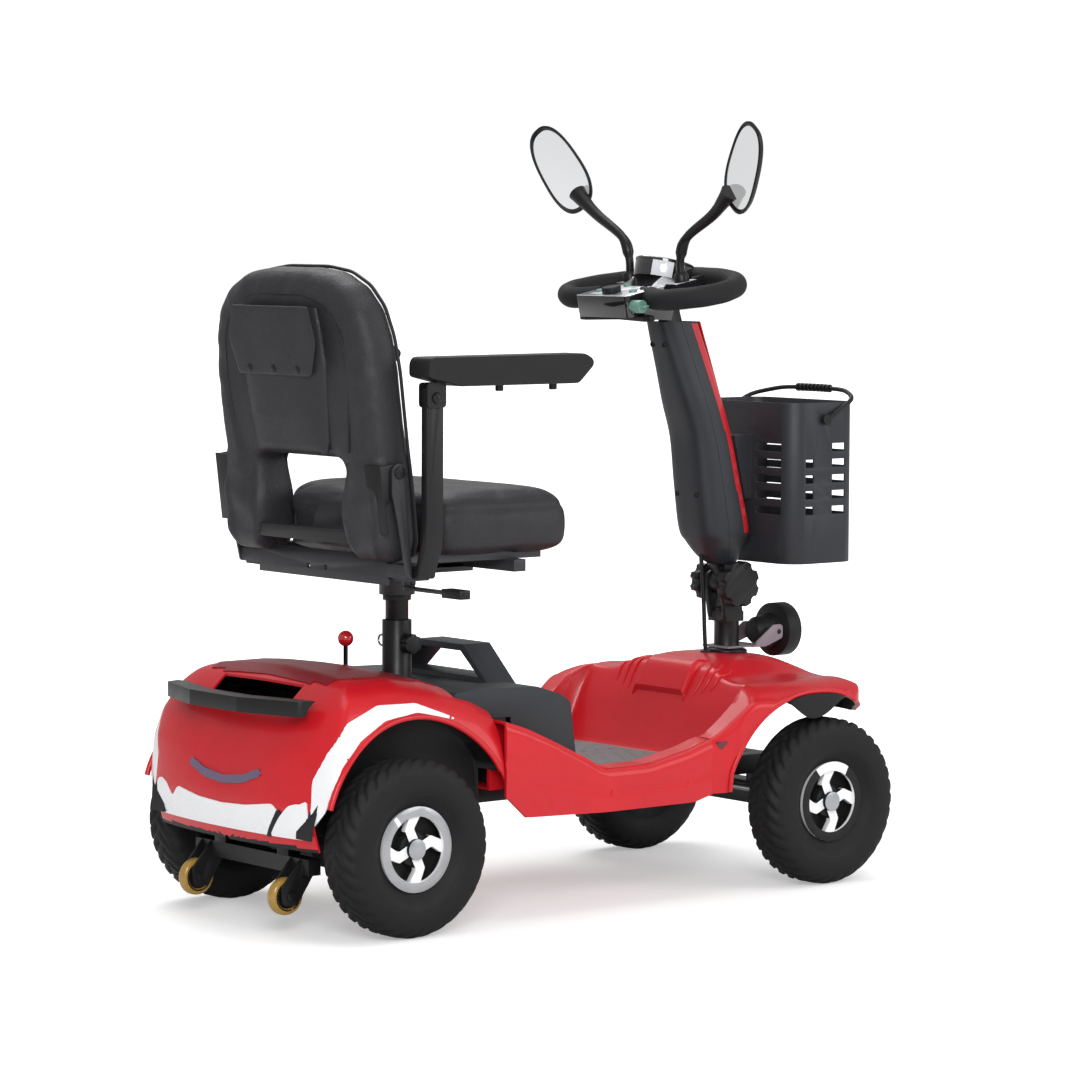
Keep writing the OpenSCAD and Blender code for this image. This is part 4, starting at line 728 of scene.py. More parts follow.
y = np.r_[np.linspace(front["backY"], -196, 10), np.linspace(-200.5, -460, 58),
    np.linspace(-463, front["noseY"], 14)]
grid = []
for station in y:
    w = np.interp(station, *hoodWidth)
    x = np.linspace(w - 10, 0, 56)
    if station > -320:  # close rows where the footwell's side rises
        x = np.r_[np.linspace(w - 10, 199, 7), np.linspace(196.5, 181, 9), np.linspace(176, 0, 40)]
    z = hoodHeight(x, station)
    low, edge = hoodLow(station), z[0]
    drop = max(edge - 12 - low, 1.0)
    phi = np.linspace(0, pi / 2, 7)[1:-1]
    sideX = np.r_[np.full(6, w) - np.linspace(3, 0, 6) * (low < 200), w - 10 * (1 - np.cos(phi))]
    sideZ = np.r_[low + np.linspace(0, 1, 6) * drop, low + drop + (edge - low - drop) * np.sin(phi)]
    half = np.stack([np.r_[sideX, x], np.full(len(sideX) + len(x), station), np.r_[sideZ, z]], -1)
    grid.append(np.vstack([half, (half * [-1, 1, 1])[-2::-1]]))
last = grid[-1]
for k in np.linspace(0, 1, 5)[1:]:
    step = last.copy()
    step[:, 2] = last[:, 2] + (hoodProfile[1][0] - last[:, 2]) * k
    step[:, 1] = last[:, 1] - 0.8 * sin(k * pi / 2)
    grid.append(step)
points, faces = gridOf(np.array(grid), flip=True)
centre = points[faces].mean(1)  # the steering column and the cable pass through openings in the dome
offColumn = np.hypot(centre[:, 0], centre[:, 1] - wheel["frontY"]) > 27
offCable = np.hypot(centre[:, 0] - cableHole["x"], centre[:, 1] - cableHole["y"]) > cableHole["r"]
faces = faces[offColumn & offCable | (centre[:, 2] < 320)]
hood = newPiece("front body shell", points, faces, "candyRed", "chassis", ["front_body_cover"], 32,
    extra=("grainBlack",))
rebuild(hood)
thicken(hood, front["wall"], inside=1)
bake(hood)
smooth(hood, 32)

for side, sign in sidesOf:
    y = np.linspace(-198, -488, 110)
    lip = np.stack([sign * (np.interp(y, *hoodWidth) - 2.2), y, hoodLow(y) + 1.5], -1)
    points, faces = sweep(lip, 4.0, 12, reference=(1, 0, 0))
    newPiece(f"front arch lip {side}", points, faces, "candyRed", "chassis")



def onHood(places, lift):  # (X, Y) places set on the dome
    places = np.asarray(places, float)
    return np.stack([places[:, 0], places[:, 1], hoodHeight(places[:, 0], places[:, 1]) + lift], -1)


def circleAt(x, y, r):  # (X, Y) places round a centre
    a = np.linspace(0, 2 * pi, 64, endpoint=False)
    return np.stack([x + r * np.cos(a), y + r * np.sin(a)], -1)


collar = dict(r=27.5, spread=1.05, tube=4.6)
ringPath = onHood(circleAt(0, wheel["frontY"], collar["r"]), 1.4)
ringPath[:, :2] = circleAt(0, wheel["frontY"], collar["r"] * collar["spread"])
points, faces = sweep(ringPath, collar["tube"], 12, closed=True)
newPiece("column boot ring", points, faces, "satinBlack", "chassis")
around = onHood(circleAt(cableHole["x"], cableHole["y"], 6.4), 0.5)
points, faces = sweep(around, 2.6, 10, closed=True)
newPiece("cable grommet", points, faces, "satinBlack", "chassis")

for side, sign in sidesOf:  # raised ribs beside the card holder
    for k, (reach, start) in enumerate(((26, 78), (32, 94), (34, 112))):
        path = curveThrough([(sign * start, -262 - k * 3), (sign * (start + 5), -280),
            (sign * (start + 4), -262 - reach - 8), (sign * (start - 8), -272 - reach - 14)], 8)
        thick = np.interp(np.linspace(0, 1, len(path)), [0, 0.3, 0.8, 1], [0.8, 2.6, 2.6, 0.8])
        points, faces = sweep(onHood(path, 0.6), thick, 10)
        newPiece(f"dome rib {side} {k}", points, faces, "candyRed", "chassis")

holder = dict(half=62, along=[0, 0.2, 0.5, 1], y=[-262, -258, -276, -322], rise=[0, 17, 19, 0], wall=1.6,
    sunk=0.8)
u, v = np.meshgrid(np.linspace(-1, 1, 61), np.linspace(0, 1, 21), indexing="ij")
hx = holder["half"] * u * (1 - 0.10 * v)
hy = np.interp(v, holder["along"], holder["y"])
raised = np.interp(v, holder["along"], holder["rise"]) * np.clip((1 - np.abs(u)) / 0.10, 0, 1) ** 0.4
points, faces = gridOf(np.stack([hx, hy, hoodHeight(hx, hy) - holder["sunk"] + raised], -1))
cardHolder = newPiece("card holder", points, faces, "candyRed", "chassis", (), 40)
rebuild(cardHolder)
thicken(cardHolder, holder["wall"])
bake(cardHolder)
smooth(cardHolder, 45)
for side, sign in sidesOf:  # small dark arrow marks on the fender and on the side
    laidOn(hood, [(-182, 226), (-170, 240), (-194, 240)], "+X" if sign > 0 else "-X", 1.6, f"side mark {side}",
        "darkMark", size=2.0)
print("front body made")

skirt = dict(outX=236, inX=194, inLow=199, wall=3.0, rows=110)
skirtTop = ([-165.4, -119, -40, 45, 84, 140, 193, 236], [243, 229, 214.5, 214.5, 235, 263, 286, 300])  # Y, Z
skirtLow = ([-165.4, -131, 47, 198, 214, 236], [160, 151, 151, 156, 170, 190])
for side, sign in sidesOf:
    y = np.linspace(-165.4, 235.8, skirt["rows"])
    top, low = averaged(y, *skirtTop, 14), averaged(y, *skirtLow, 8)
    phi = np.linspace(pi / 2, 0, 7)
    rows = []
    for v in np.linspace(0, 1, 7):
        z = skirt["inLow"] + v * (top - 5 - skirt["inLow"])
        rows.append(np.stack([np.full_like(y, skirt["inX"] + 1.5 * v), y, z], -1))
    for p in phi:
        rows.append(np.stack([skirt["inX"] + 2 + 4 * (1 - np.sin(p)) + 0 * y, y, top - 4 + 4 * np.cos(p)], -1))
    for x in np.linspace(204, 222, 4):
        rows.append(np.stack([np.full_like(y, x), y, top - (x - 200) * 0.05], -1))
    for p in phi:
        rows.append(np.stack([skirt["outX"] - 12 * (1 - np.cos(p)) + 0 * y, y, top - 13 + 12 * np.sin(p)], -1))
    for v in np.linspace(0.06, 1, 12):
        z = (top - 13) + v * (low - top + 13)
        crease = 1.8 * np.exp(-((z - (top + low) / 2 + 4) / 5.0) ** 2)
        rows.append(np.stack([skirt["outX"] - 1.2 * v * v - crease, y, z], -1))
    grid = np.array(rows) * [sign, 1, 1]
    points, faces = gridOf(grid, flip=sign > 0)
    obj = newPiece(f"side skirt {side}", points, faces, "candyRed", "chassis")
    thicken(obj, skirt["wall"])
    bake(obj)
    smooth(obj, 32)
roundedCopy("centre_body", "candyRed", 0)

mat = dict(outX=186.5, backY=56.5, frontY=-207.0, lowZ=198.3, height=4.6, ribSlope=0.55, ribPitch=27.0,
    ribHeight=1.5)
gx, gy = np.meshgrid(np.linspace(-mat["outX"], mat["outX"], 260), np.linspace(mat["frontY"], mat["backY"], 170),
    indexing="ij")
inner = (np.abs(gx) > 16) & (np.abs(gx) < 168) & (gy > mat["frontY"] + 16) & (gy < mat["backY"] - 14)
wave = np.sin((gy - mat["ribSlope"] * np.abs(gx)) * 2 * pi / mat["ribPitch"])
ribs = np.clip(wave * 3 - 0.6, 0, 1) * inner * mat["ribHeight"]
edge = np.minimum(mat["outX"] - np.abs(gx), np.minimum(gy - mat["frontY"], mat["backY"] - gy))
gz = mat["lowZ"] + mat["height"] * np.clip(edge / 3.0, 0, 1) ** 0.5 + ribs
points, faces = gridOf(np.stack([gx, gy, gz], -1))
obj = newPiece("floor mat", points, faces, "rubberMat", "chassis", ["footboard_mat"], 40)
rebuild(obj)
smooth(obj, 45)

for name, finish, width in (  # node, finish, width of its rounded edges
        ("rear_arch_liners", "grainBlack", 0), ("main_frame", "satinBlack", 1.2), ("transaxle", "castGrey", 1.5),
        ("controller", "finAlloy", 0.6), ("anti_tip_brackets", "satinBlack", 0.7),
        ("cover_screws", "candyRed", 0.5),
        ("knuckle_left", "satinBlack", 0.8), ("knuckle_right", "satinBlack", 0.8), ("tie_rod", "zinc", 0.5),
        ("seat_post", "satinBlack", 0.8), ("seat_frame", "armour", 0.8), ("backrest_frame", "satinBlack", 0.7),
        ("armrest_frame_left", "satinBlack", 2.5), ("armrest_frame_right", "satinBlack", 2.5),
        ("battery_cells", "cellBlue", 3),
        ("steering_column", "satinBlack", 0.8), ("tiller_mast", "satinBlack", 1.0),
        ("headlamp_bracket", "mauve", 0.6),
        ("basket", "slate", 0.9), ("tilt_lock_knobs", "satinBlack", 1.4), ("post_clamp_knob", "satinBlack", 1.4),
        ("post_lock_pin", "zinc", 0.3), ("throttle_lever", "grainBlack", 0.5), ("speed_dial", "grainBlack", 0.8),
        ("ignition_key", "keyGreen", 0.6), ("basket_handle", "grainBlack", 0),
        ("rear_grab_handle", "satinBlack", 3.5), ("battery_case", "charcoal", 4.0)):
    roundedCopy(name, finish, width, 3 if width > 2 else 2)
fitting = dict(rollerY=545, rollerZ=58.5, hubR=17.5, gripX=-151, ballZ=391, lensY=-515, lensZ=374, lensR=39)
for side in ("left", "right"):
    roller = roundedCopy(f"anti_tip_wheel_{side}", "amber", 0.6, 2, extra=("satinBlack",))
    paintFaces(roller, 1, lambda c, n: np.hypot(c[:, 1] - fitting["rollerY"], c[:, 2] - fitting["rollerZ"])
        < fitting["hubR"])
swivel = roundedCopy("swivel_lever", "armour", 0.7, 2, extra=("satinBlack",))
paintFaces(swivel, 1, lambda c, n: c[:, 0] < fitting["gripX"])
freewheel = roundedCopy("freewheel_lever", "satinBlack", 0, 2, extra=("ballRed",))
paintFaces(freewheel, 1, lambda c, n: c[:, 2] > fitting["ballZ"])
lamp = roundedCopy("headlamp", "grainBlack", 0.6, 2, extra=("lensClear",))
paintFaces(lamp, 1, lambda c, n: (c[:, 1] < fitting["lensY"])
    & (np.hypot(c[:, 0], c[:, 2] - fitting["lensZ"]) < fitting["lensR"]))
print("frame and fittings made")

puff = dict(voxel=5.0, pressure=4.0, frames=20)


def puffed(obj, cap):  # voxel remesh, then cloth under pressure, with each point's travel capped
    modifier = obj.modifiers.new("even", "REMESH")
    modifier.mode, modifier.voxel_size = "VOXEL", puff["voxel"] * mm
    bake(obj)
    count = len(obj.data.vertices)
    start = np.empty(count * 3)
    obj.data.vertices.foreach_get("co", start)
    cloth = obj.modifiers.new("cloth", "CLOTH")
    settings = cloth.settings
    settings.quality, settings.mass, settings.use_pressure = 5, 0.3, True
    settings.uniform_pressure_force = puff["pressure"]
    settings.tension_stiffness = settings.compression_stiffness = 15
    settings.shear_stiffness, settings.bending_stiffness = 5, 0.6
    settings.effector_weights.gravity = 0
    cloth.point_cache.frame_start, cloth.point_cache.frame_end = 1, puff["frames"]
    for number in range(1, puff["frames"] + 1):
        bpy.context.scene.frame_set(number)
    bake(obj)
    bpy.context.scene.frame_set(1)
    end = np.empty(count * 3)
    obj.data.vertices.foreach_get("co", end)
    move = (end - start).reshape(-1, 3)
    size = np.linalg.norm(move, axis=1, keepdims=True)
    move *= np.minimum(1, cap * mm / np.maximum(size, 1e-9))
    obj.data.vertices.foreach_set("co", (start.reshape(-1, 3) + move).ravel())
    obj.data.update()
    return obj


def soften(obj, levels=1):  # subdivision that shows the same in every view
    modifier = obj.modifiers.new("soften", "SUBSURF")
    modifier.levels = modifier.render_levels = levels
    bake(obj)
    smooth(obj, 180)
    return obj


def loft(sections):  # closed rings of the same count joined one after another, and both ends closed
    rings = np.asarray(sections, float)
    count = rings.shape[1]
    faces = gridFaces(len(rings), count, wrapColumns=True).tolist()
    faces += [list(range(count)), list(range((len(rings) - 1) * count, len(rings) * count))[::-1]]
    return rings.reshape(-1, 3), faces


def superRing(halfX, halfY, power, count):  # |x/a|^p + |y/b|^p = 1
    a = np.linspace(0, 2 * pi, count, endpoint=False)
    return np.stack([halfX * np.sign(np.cos(a)) * np.abs(np.cos(a)) ** (2 / power),
        halfY * np.sign(np.sin(a)) * np.abs(np.sin(a)) ** (2 / power)], -1)


seat = dict(halfX=211, frontY=74, rearY=331.5, lowZ=546.5)
midY, halfY = (seat["frontY"] + seat["rearY"]) / 2, (seat["rearY"] - seat["frontY"]) / 2
rings = []
for z, inset in [(seat["lowZ"], 16), (552, 6), (562, 1.5), (578, 0), (594, 0.5), (607, 3.0), (618, 8), (627, 17),
        (632, 30), (634, 52), (635.5, 90), (636, 150)]:
    ring = superRing(seat["halfX"] - inset, halfY - inset * 0.62, 8.0, 200)
    ahead = np.clip((midY - 30 - (ring[:, 1] + midY)) / 95, 0, 1)
    height = z - ahead ** 2 * np.clip((z - 575) / 60, 0, 1) * 6
    tongue = np.clip((94 - np.abs(ring[:, 0])) / 8, 0, 1) * (ring[:, 1] > 0)  # between the backrest's legs
    reach = tongue * np.interp(z, [546, 556, 600, 634], [62, 80, 86, 60])
    rings.append(np.stack([ring[:, 0], ring[:, 1] + midY + reach, height], -1))
points, faces = loft(rings)
cushion = newPiece("seat cushion", points, faces, "vinyl", "seat", ["seat_cushion"])
rebuild(cushion)
puffed(cushion, 5.0)


def dent(obj, depth):  # moves each point by a vector that depends on where it is; places in millimetres
    count = len(obj.data.vertices)
    co = np.empty(count * 3)
    obj.data.vertices.foreach_get("co", co)
    place = co.reshape(-1, 3) / mm
    obj.data.vertices.foreach_set("co", ((place + depth(place)) * mm).ravel())
    obj.data.update()


def seatCreases(p):  # a piped seam round the side, and slanting creases on the rear face
    move = np.zeros_like(p)
    side = (p[:, 2] > 556) & (p[:, 2] < 628)
    out = np.stack([p[:, 0] / seat["halfX"], (p[:, 1] - midY) / halfY], -1)
    norm = np.maximum(np.abs(out).max(1), 1e-6)
    reach = np.where(norm > 0.86, 1.0, 0.0) * side
    seam = -2.4 * np.exp(-((p[:, 2] - 611) / 3.2) ** 2) * reach
    ripple = 1.6 * np.sin(p[:, 0] / 23.0 + p[:, 2] / 17.0) * np.clip((p[:, 1] - 300) / 25, 0, 1) * side
    ripple += 0.9 * np.sin(p[:, 1] / 19.0 + p[:, 2] / 13.0) * np.clip((np.abs(p[:, 0]) - 190) / 18, 0, 1) * side
    unit = out / np.maximum(np.linalg.norm(out, axis=1, keepdims=True), 1e-6)
    move[:, :2] = unit * (seam + ripple)[:, None]
    return move


dent(cushion, seatCreases)
soften(cushion)


back = dict(y=414, z=596, lean=7, front=-48, rear=18, legRear=15)
tilt = radians(back["lean"])


def fromBack(p):  # from the backrest's leaning frame to the scooter's
    p = np.asarray(p, float)
    return np.stack([p[..., 0], back["y"] + p[..., 1] * cos(tilt) + p[..., 2] * sin(tilt),
        back["z"] - p[..., 1] * sin(tilt) + p[..., 2] * cos(tilt)], -1)


leftOutline = [(50, 371), (106, 364), (150, 344), (180, 312), (196, 268), (202, 215), (202, 100), (205, 30),
    (203, -34), (186, -60), (126, -60), (106, -36), (100, 20), (108, 78), (88, 86)]
rightOutline = [(-x, z) for x, z in leftOutline[::-1]]
outline = softPath(rightOutline[5:] + leftOutline + rightOutline[:5], 9, 400, closed=True)  # starts at a foot
inward = np.roll(outline, -1, 0) - np.roll(outline, 1, 0)
inward = np.stack([inward[:, 1], -inward[:, 0]], -1)
inward /= np.linalg.norm(inward, axis=1, keepdims=True)
upper = np.clip((outline[:, 1] - 60) / 60, 0, 1)
rings = []
bulge = 12 * np.exp(-((outline[:, 1] + 5) / 62) ** 4)  # the legs swell towards their feet
for v, inset in [(0.0, 22), (0.04, 13), (0.11, 6.5), (0.22, 2), (0.38, 0), (0.6, 0), (0.76, 3), (0.87, 8),
        (0.95, 15), (1.0, 26)]:
    ring = outline + inward * inset * np.where(outline[:, 1] < 92, 0.62, 1)[:, None]
    rearFace = back["legRear"] + (back["rear"] - back["legRear"]) * upper + bulge
    y = back["front"] + v * (rearFace - back["front"])
    rings.append(fromBack(np.stack([ring[:, 0], y, ring[:, 1]], -1)))
points, faces = loft(rings)
pad = newPiece("backrest cushion", points, faces, "vinyl", "backrest", ["backrest_cushion"])
rebuild(pad)
puffed(pad, 4.0)


def backCreases(p):  # shallow folds on the rear panel and slanting creases at its foot
    y = (p[:, 1] - back["y"]) * cos(tilt) - (p[:, 2] - back["z"]) * sin(tilt)
    z = (p[:, 1] - back["y"]) * sin(tilt) + (p[:, 2] - back["z"]) * cos(tilt)
    behind = np.clip((y - 4) / 10, 0, 1)
    folds = 1.3 * np.sin(z / 26.0 + p[:, 0] / 47.0) * np.sin(p[:, 0] / 61.0 + 0.6) * np.clip((z - 95) / 30, 0, 1)
    foot = np.clip((70 - z) / 30, 0, 1) * np.clip((z + 45) / 20, 0, 1)
    folds += 1.4 * np.sin((z - np.abs(p[:, 0]) * 0.5) / 11.0) * foot
    ahead = np.clip((-y - 34) / 10, 0, 1)
    channel = -2.4 * sum(np.exp(-((z - at) / 4.5) ** 2) for at in (190, 285)) * (np.abs(p[:, 0]) < 150)
    shift = folds * behind - channel * ahead
    return np.stack([0 * shift, shift * cos(tilt), -shift * sin(tilt)], -1)


dent(pad, backCreases)
soften(pad)

pipe = dict(r=2.6, inset=5.0, along=0.12, seamR=1.8, seamOut=3.2)
ring = outline + inward * pipe["inset"]
y = back["front"] + pipe["along"] * (rearFace - back["front"])
path = fromBack(np.stack([ring[:, 0], y, ring[:, 1]], -1))
points, faces = sweep(path[::2], pipe["r"], 8, closed=True, reference=(0, 1, 0.01))
newPiece("backrest piping front", points, faces, "vinylDark", "backrest")
seam = softPath([(-136, 104), (-152, 200), (-146, 272), (-118, 316), (-62, 333), (62, 333), (118, 316),
    (146, 272), (152, 200), (136, 104)], 14, 120)
path = fromBack(np.stack([seam[:, 0], np.full(len(seam), back["rear"] + pipe["seamOut"]), seam[:, 1]], -1))
points, faces = sweep(path, pipe["seamR"], 8, reference=(0, 1, 0.01))
newPiece("backrest rear seam", points, faces, "vinylDark", "backrest")

pocket = dict(y=20.5, bulge=17, foot=101, top=314)
nu, nv = 60, 60
u, v = np.meshgrid(np.linspace(-1, 1, nu), np.linspace(0, 1, nv), indexing="ij")
halfW = np.interp(v, [0, 0.08, 0.6, 0.9, 1.0], [86, 92, 103, 97, 93])
z = pocket["foot"] + v * (pocket["top"] - pocket["foot"])
swell = (1 - np.abs(u) ** 5) * np.interp(v, [0, 0.04, 0.25, 0.7, 0.95, 1], [0.1, 0.55, 0.9, 1.0, 0.85, 0.7])
y = pocket["y"] + 2.5 + pocket["bulge"] * swell + 1.1 * np.sin(u * 5 + v * 9) * swell * (1 - v)
pocketFront = np.stack([u * halfW, y, z], -1)
pocketBack = np.stack([u * halfW, np.full_like(y, pocket["y"]), z], -1)
points, faces = merged([gridOf(fromBack(pocketFront)), gridOf(fromBack(pocketBack), flip=True)])
count = nu * nv
border = [i * nv for i in range(nu)] + [(nu - 1) * nv + j for j in range(1, nv)] + \
    [i * nv + nv - 1 for i in range(nu - 2, -1, -1)] + [j for j in range(nv - 2, 0, -1)]
faces += [[border[k], border[(k + 1) % len(border)], border[(k + 1) % len(border)] + count, border[k] + count]
    for k in range(len(border))]
bag = newPiece("back pocket", points, faces, "vinyl", "backrest", ["back_pocket"], 50)
rebuild(bag)
smooth(bag, 60)


flap = dict(outline=[(-96, 318), (96, 318), (108, 266), (90, 216), (-90, 216), (-108, 266)], thickness=3.2,
    puffUp=1.5, count=120, rows=8)
edge = softPath(flap["outline"], 4, flap["count"], closed=True)
middle = edge.mean(0)


def flapRing(scale, y):  # the flap's outline, shrunk about its middle, at a depth
    ring = middle + (edge - middle) * scale
    return np.stack([ring[:, 0], np.full(flap["count"], y), ring[:, 1]], -1)


flapY = pocket["y"] + pocket["bulge"] + 2.0
scales = np.r_[1, 0.985, np.linspace(0.94, 0.12, flap["rows"])]
lift = flap["thickness"] * np.r_[0.35, 0.8, np.ones(flap["rows"])] + flap["puffUp"] * (1 - scales ** 2)
points, faces = loft([flapRing(s, flapY) for s in scales[::-1]]
    + [flapRing(s, flapY + h) for s, h in zip(scales, lift)])
obj = newPiece("pocket flap", fromBack(points), faces, "vinyl", "backrest")
rebuild(obj)
smooth(obj, 45)
for x in (-60, 0, 60):
    points, faces = turned([(-1.2, 0.3), (-1.2, 6.2), (0.6, 6.2), (1.6, 4.8), (1.6, 0.3)], (0, 0, 0), 28)
    points = np.stack([points[:, 1] + x, points[:, 0] + flapY + 3.6, points[:, 2] + 226], -1)
    obj = newPiece(f"pocket snap {x}", fromBack(points), faces, "satinBlack", "backrest")
    rebuild(obj)
print("seat made")

arm = dict(x=236, half=24, pivotY=372, pivotZ=778, top=838, length=307)
for side, sign in sidesOf:
    y1, y0, top = arm["pivotY"] + 25, arm["pivotY"] + 25 - arm["length"], arm["top"]
    profile = softPath([(y1, top - 30), (y1, top - 10), (y1 - 5, top - 1), (y0 + 16, top), (y0 + 1, top - 8),
        (y0, top - 17), (y0 + 28, top - 44), (y1 - 60, top - 44)], 5, 200, closed=True)
    middle = profile.mean(0)
    sections = []
    for x, s in [(-1.0, 0.80), (-1.0, 0.95), (-0.93, 0.985), (-0.8, 1.0), (0, 1.0), (0.8, 1.0), (0.93, 0.985),
            (1.0, 0.95), (1.0, 0.80)]:
        ring = middle + (profile - middle) * [1 - (1 - s) * 0.14, s]
        plane = np.full(len(ring), sign * arm["x"] + x * arm["half"])
        sections.append(np.stack([plane, ring[:, 0], ring[:, 1]], -1))
    points, faces = loft(sections)
    node = f"armrest_pad_{side}"
    armPad = newPiece(f"armrest {side}", points, faces, "grainBlack", bodyOf[node], [node], 40)
    rebuild(armPad)
    smooth(armPad, 42)
    plate = softPath([(355, 764), (389, 764), (389, arm["top"] - 38), (355, arm["top"] - 38)], 6, 60, closed=True)
    parts, pivot = [], (sign * arm["x"], arm["pivotY"], arm["pivotZ"])
    for s in (-1, 1):
        parts.append(loft([np.stack([np.full(60, sign * arm["x"] + s * x), plate[:, 0], plate[:, 1]], -1)
            for x in (7.5, 10.5)]))
        parts.append(turned([(s * 10.5, 0.2), (s * 10.5, 8.5), (s * 13.5, 7.5), (s * 15.5, 4), (s * 15.8, 0.2)],
            pivot, 32))
    parts.append(turned([(-11, 0.2), (-11, 4.9), (11, 4.9), (11, 0.2)], pivot, 32))
    for y in (150, 250):
        points, faces = turned([(-7, 0.2), (-7, 5), (-6, 6), (3, 6), (3, 0.2)], (0, 0, 0), 24)
        points = np.stack([points[:, 1] + sign * arm["x"], points[:, 2] + y, points[:, 0] + arm["top"] - 46], -1)
        parts.append((points, faces))
    bracket = newPiece(f"armrest bracket {side}", *merged(parts), "satinBlack", bodyOf[node])
    rebuild(bracket)
    smooth(bracket, 40)
print("armrests made")

tiller = dict(wall=3.4, seam=0.6, bandDepth=25, bandLow=540, bandHigh=872, stripLow=544)
tillerRows = [  # height, front Y, seam Y, rear Y, half width
    (486, -408, -392, -372, 20), (500, -417, -384, -350, 26), (522, -424, -374, -334, 38),
    (545, -425, -366, -323, 46.0), (620, -405, -352, -312, 45.5), (690, -387.5, -338, -303, 43.5),
    (745, -369, -321, -285, 41.5), (800, -350, -303, -267, 35),
    (850, -332, -286, -250.5, 30), (874, -323.5, -277.5, -243.5, 27.5)]
rows = curveThrough(tillerRows, 5)


def halfTiller(which, finish, node):
    # half-rounded sections stacked along the tiller: from the seam line out to the front or the rear line
    a = np.linspace(0, pi, 60)
    x = np.sign(np.cos(a)) * np.abs(np.cos(a)) ** (2 / 3.6)
    depth = np.sin(a) ** (2 / 3.0)
    sections = []
    for z, yFront, ySeam, yRear, w in rows:
        far = yRear if which == "rear" else yFront
        gap = tiller["seam"] / 2 * (1 if which == "rear" else -1)
        outer = np.stack([w * x, ySeam + gap + (far - ySeam - gap) * depth, np.full(60, z)], -1)
        innerReach = far - ySeam - gap - np.sign(far - ySeam) * tiller["wall"]
        inner = np.stack([(w - tiller["wall"]) * x, ySeam + gap + innerReach * depth, np.full(60, z)], -1)[::-1]
        sections.append(np.vstack([outer, inner]))
    points, faces = loft(sections)
    obj = newPiece(f"tiller {which} cover", points, faces, finish, "tiller", [node], 35)
    rebuild(obj)
    smooth(obj, 40)
    return obj


halfTiller("rear", "slate", "tiller_rear_cover")
frontCover = halfTiller("front", "charcoal", "tiller_front_cover")
frontCover.data.materials.append(finishes["stripRed"])


def isBand(c, n):  # the front cover's red band, behind its front line
    ahead = c[:, 1] < np.interp(c[:, 2], rows[:, 0], rows[:, 1]) + tiller["bandDepth"]
    return ahead & (c[:, 2] > tiller["bandLow"]) & (c[:, 2] < tiller["bandHigh"])


paintFaces(frontCover, 1, isBand)
for x in (-23, 23):  # paired screw holes down the rear cover
    for z, y in ((600, -317), (838, -256)):
        points, faces = turned([(-3.5, 0.2), (-3.5, 4.2), (1.4, 4.2), (1.4, 3.0), (-1.5, 3.0), (-1.5, 0.2)],
            (0, 0, 0), 24)
        spread = 1 if z < 700 else 0.62
        points = np.stack([points[:, 1] + x * spread, points[:, 0] + y + 1.2, points[:, 2] + z], -1)
        obj = newPiece(f"tiller screw {x} {z}", points, faces, "satinBlack", "tiller")
        rebuild(obj)
u = np.linspace(-1, 1, 13)
sections = []
for z, y in rows[rows[:, 0] > tiller["stripLow"], :2]:
    out = 2.2 + 3.0 * (1 - np.abs(u) ** 4)
    halfWidth = np.interp(z, [545, 880], [24, 20])
    outer = np.stack([u * halfWidth, y + 1.2 - out, np.full(13, z)], -1)
    inner = np.stack([u[::-1] * halfWidth, np.full(13, y + 0.9), np.full(13, z)], -1)
    sections.append(np.vstack([outer, inner]))
points, faces = loft(sections)
obj = newPiece("tiller strip", points, faces, "stripRed", "tiller", ["tiller_strip"], 40)
rebuild(obj)
smooth(obj, 40)
print("tiller made")

loop = dict(a=172, front=108, back=80, dip=55, dipHalf=120, grip=16.5, tilt=11, z=922, ahead=232, half=62)
lean = radians(loop["tilt"])


def fromLoop(p):  # from the loop's own tilted frame to the scooter's
    p = np.asarray(p, float)
    return np.stack([p[..., 0], -loop["ahead"] + p[..., 1] * cos(lean) + p[..., 2] * sin(lean),
        loop["z"] - p[..., 1] * sin(lean) + p[..., 2] * cos(lean)], -1)


a = np.linspace(0, 2 * pi, 289)
x = loop["a"] * np.cos(a)
q = np.clip(1 - x * x / loop["dipHalf"] ** 2, 0, None)  # the side towards the rider dips in the middle
y = np.where(np.sin(a) > 0, loop["back"] * np.sin(a) - loop["dip"] * q * q, loop["front"] * np.sin(a))
ring = np.stack([x, y, 0 * a], -1)[:-1]
rest = (ring[:, 1] > 0) & (np.abs(ring[:, 0]) < loop["half"] - 4)
index = np.arange(len(ring))[~rest]
gap = np.flatnonzero(np.diff(index) > 1)  # the open part of the loop, where the console sits
path = np.roll(ring, -index[gap[0] + 1], 0)[: len(index)]
rub = 1 + 0.010 * np.sin(np.arange(len(path)) * 0.35)
points, faces = sweep(path, loop["grip"] * rub, 28)
grip = newPiece("loop grip", fromLoop(points), faces, "foam", "tiller", ["steering_wheel"], 50)
rebuild(grip)
smooth(grip, 50)

console = roundedCopy("console", "pearl", 0.6, 2, extra=("pianoBlack", "faceWhite", "grainBlack"))


def loopFrame(c):  # places of face centres in the loop's frame
    y, z = c[:, 1] + loop["ahead"], c[:, 2] - loop["z"]
    return np.stack([c[:, 0], y * cos(lean) - z * sin(lean), y * sin(lean) + z * cos(lean)], -1)


def isDark(c, n):  # the console's underside, the band round the display and the tongue behind it
    x, y, z = loopFrame(c).T
    return (z < 10.5) | (y < -22) & (y > -96) | (np.abs(x) < 20) & (y < 40)


paintFaces(console, 1, isDark)
dial = dict(y=-38, z=24, tilt=24, marks=9, redMarks=2)
turn = radians(dial["tilt"])


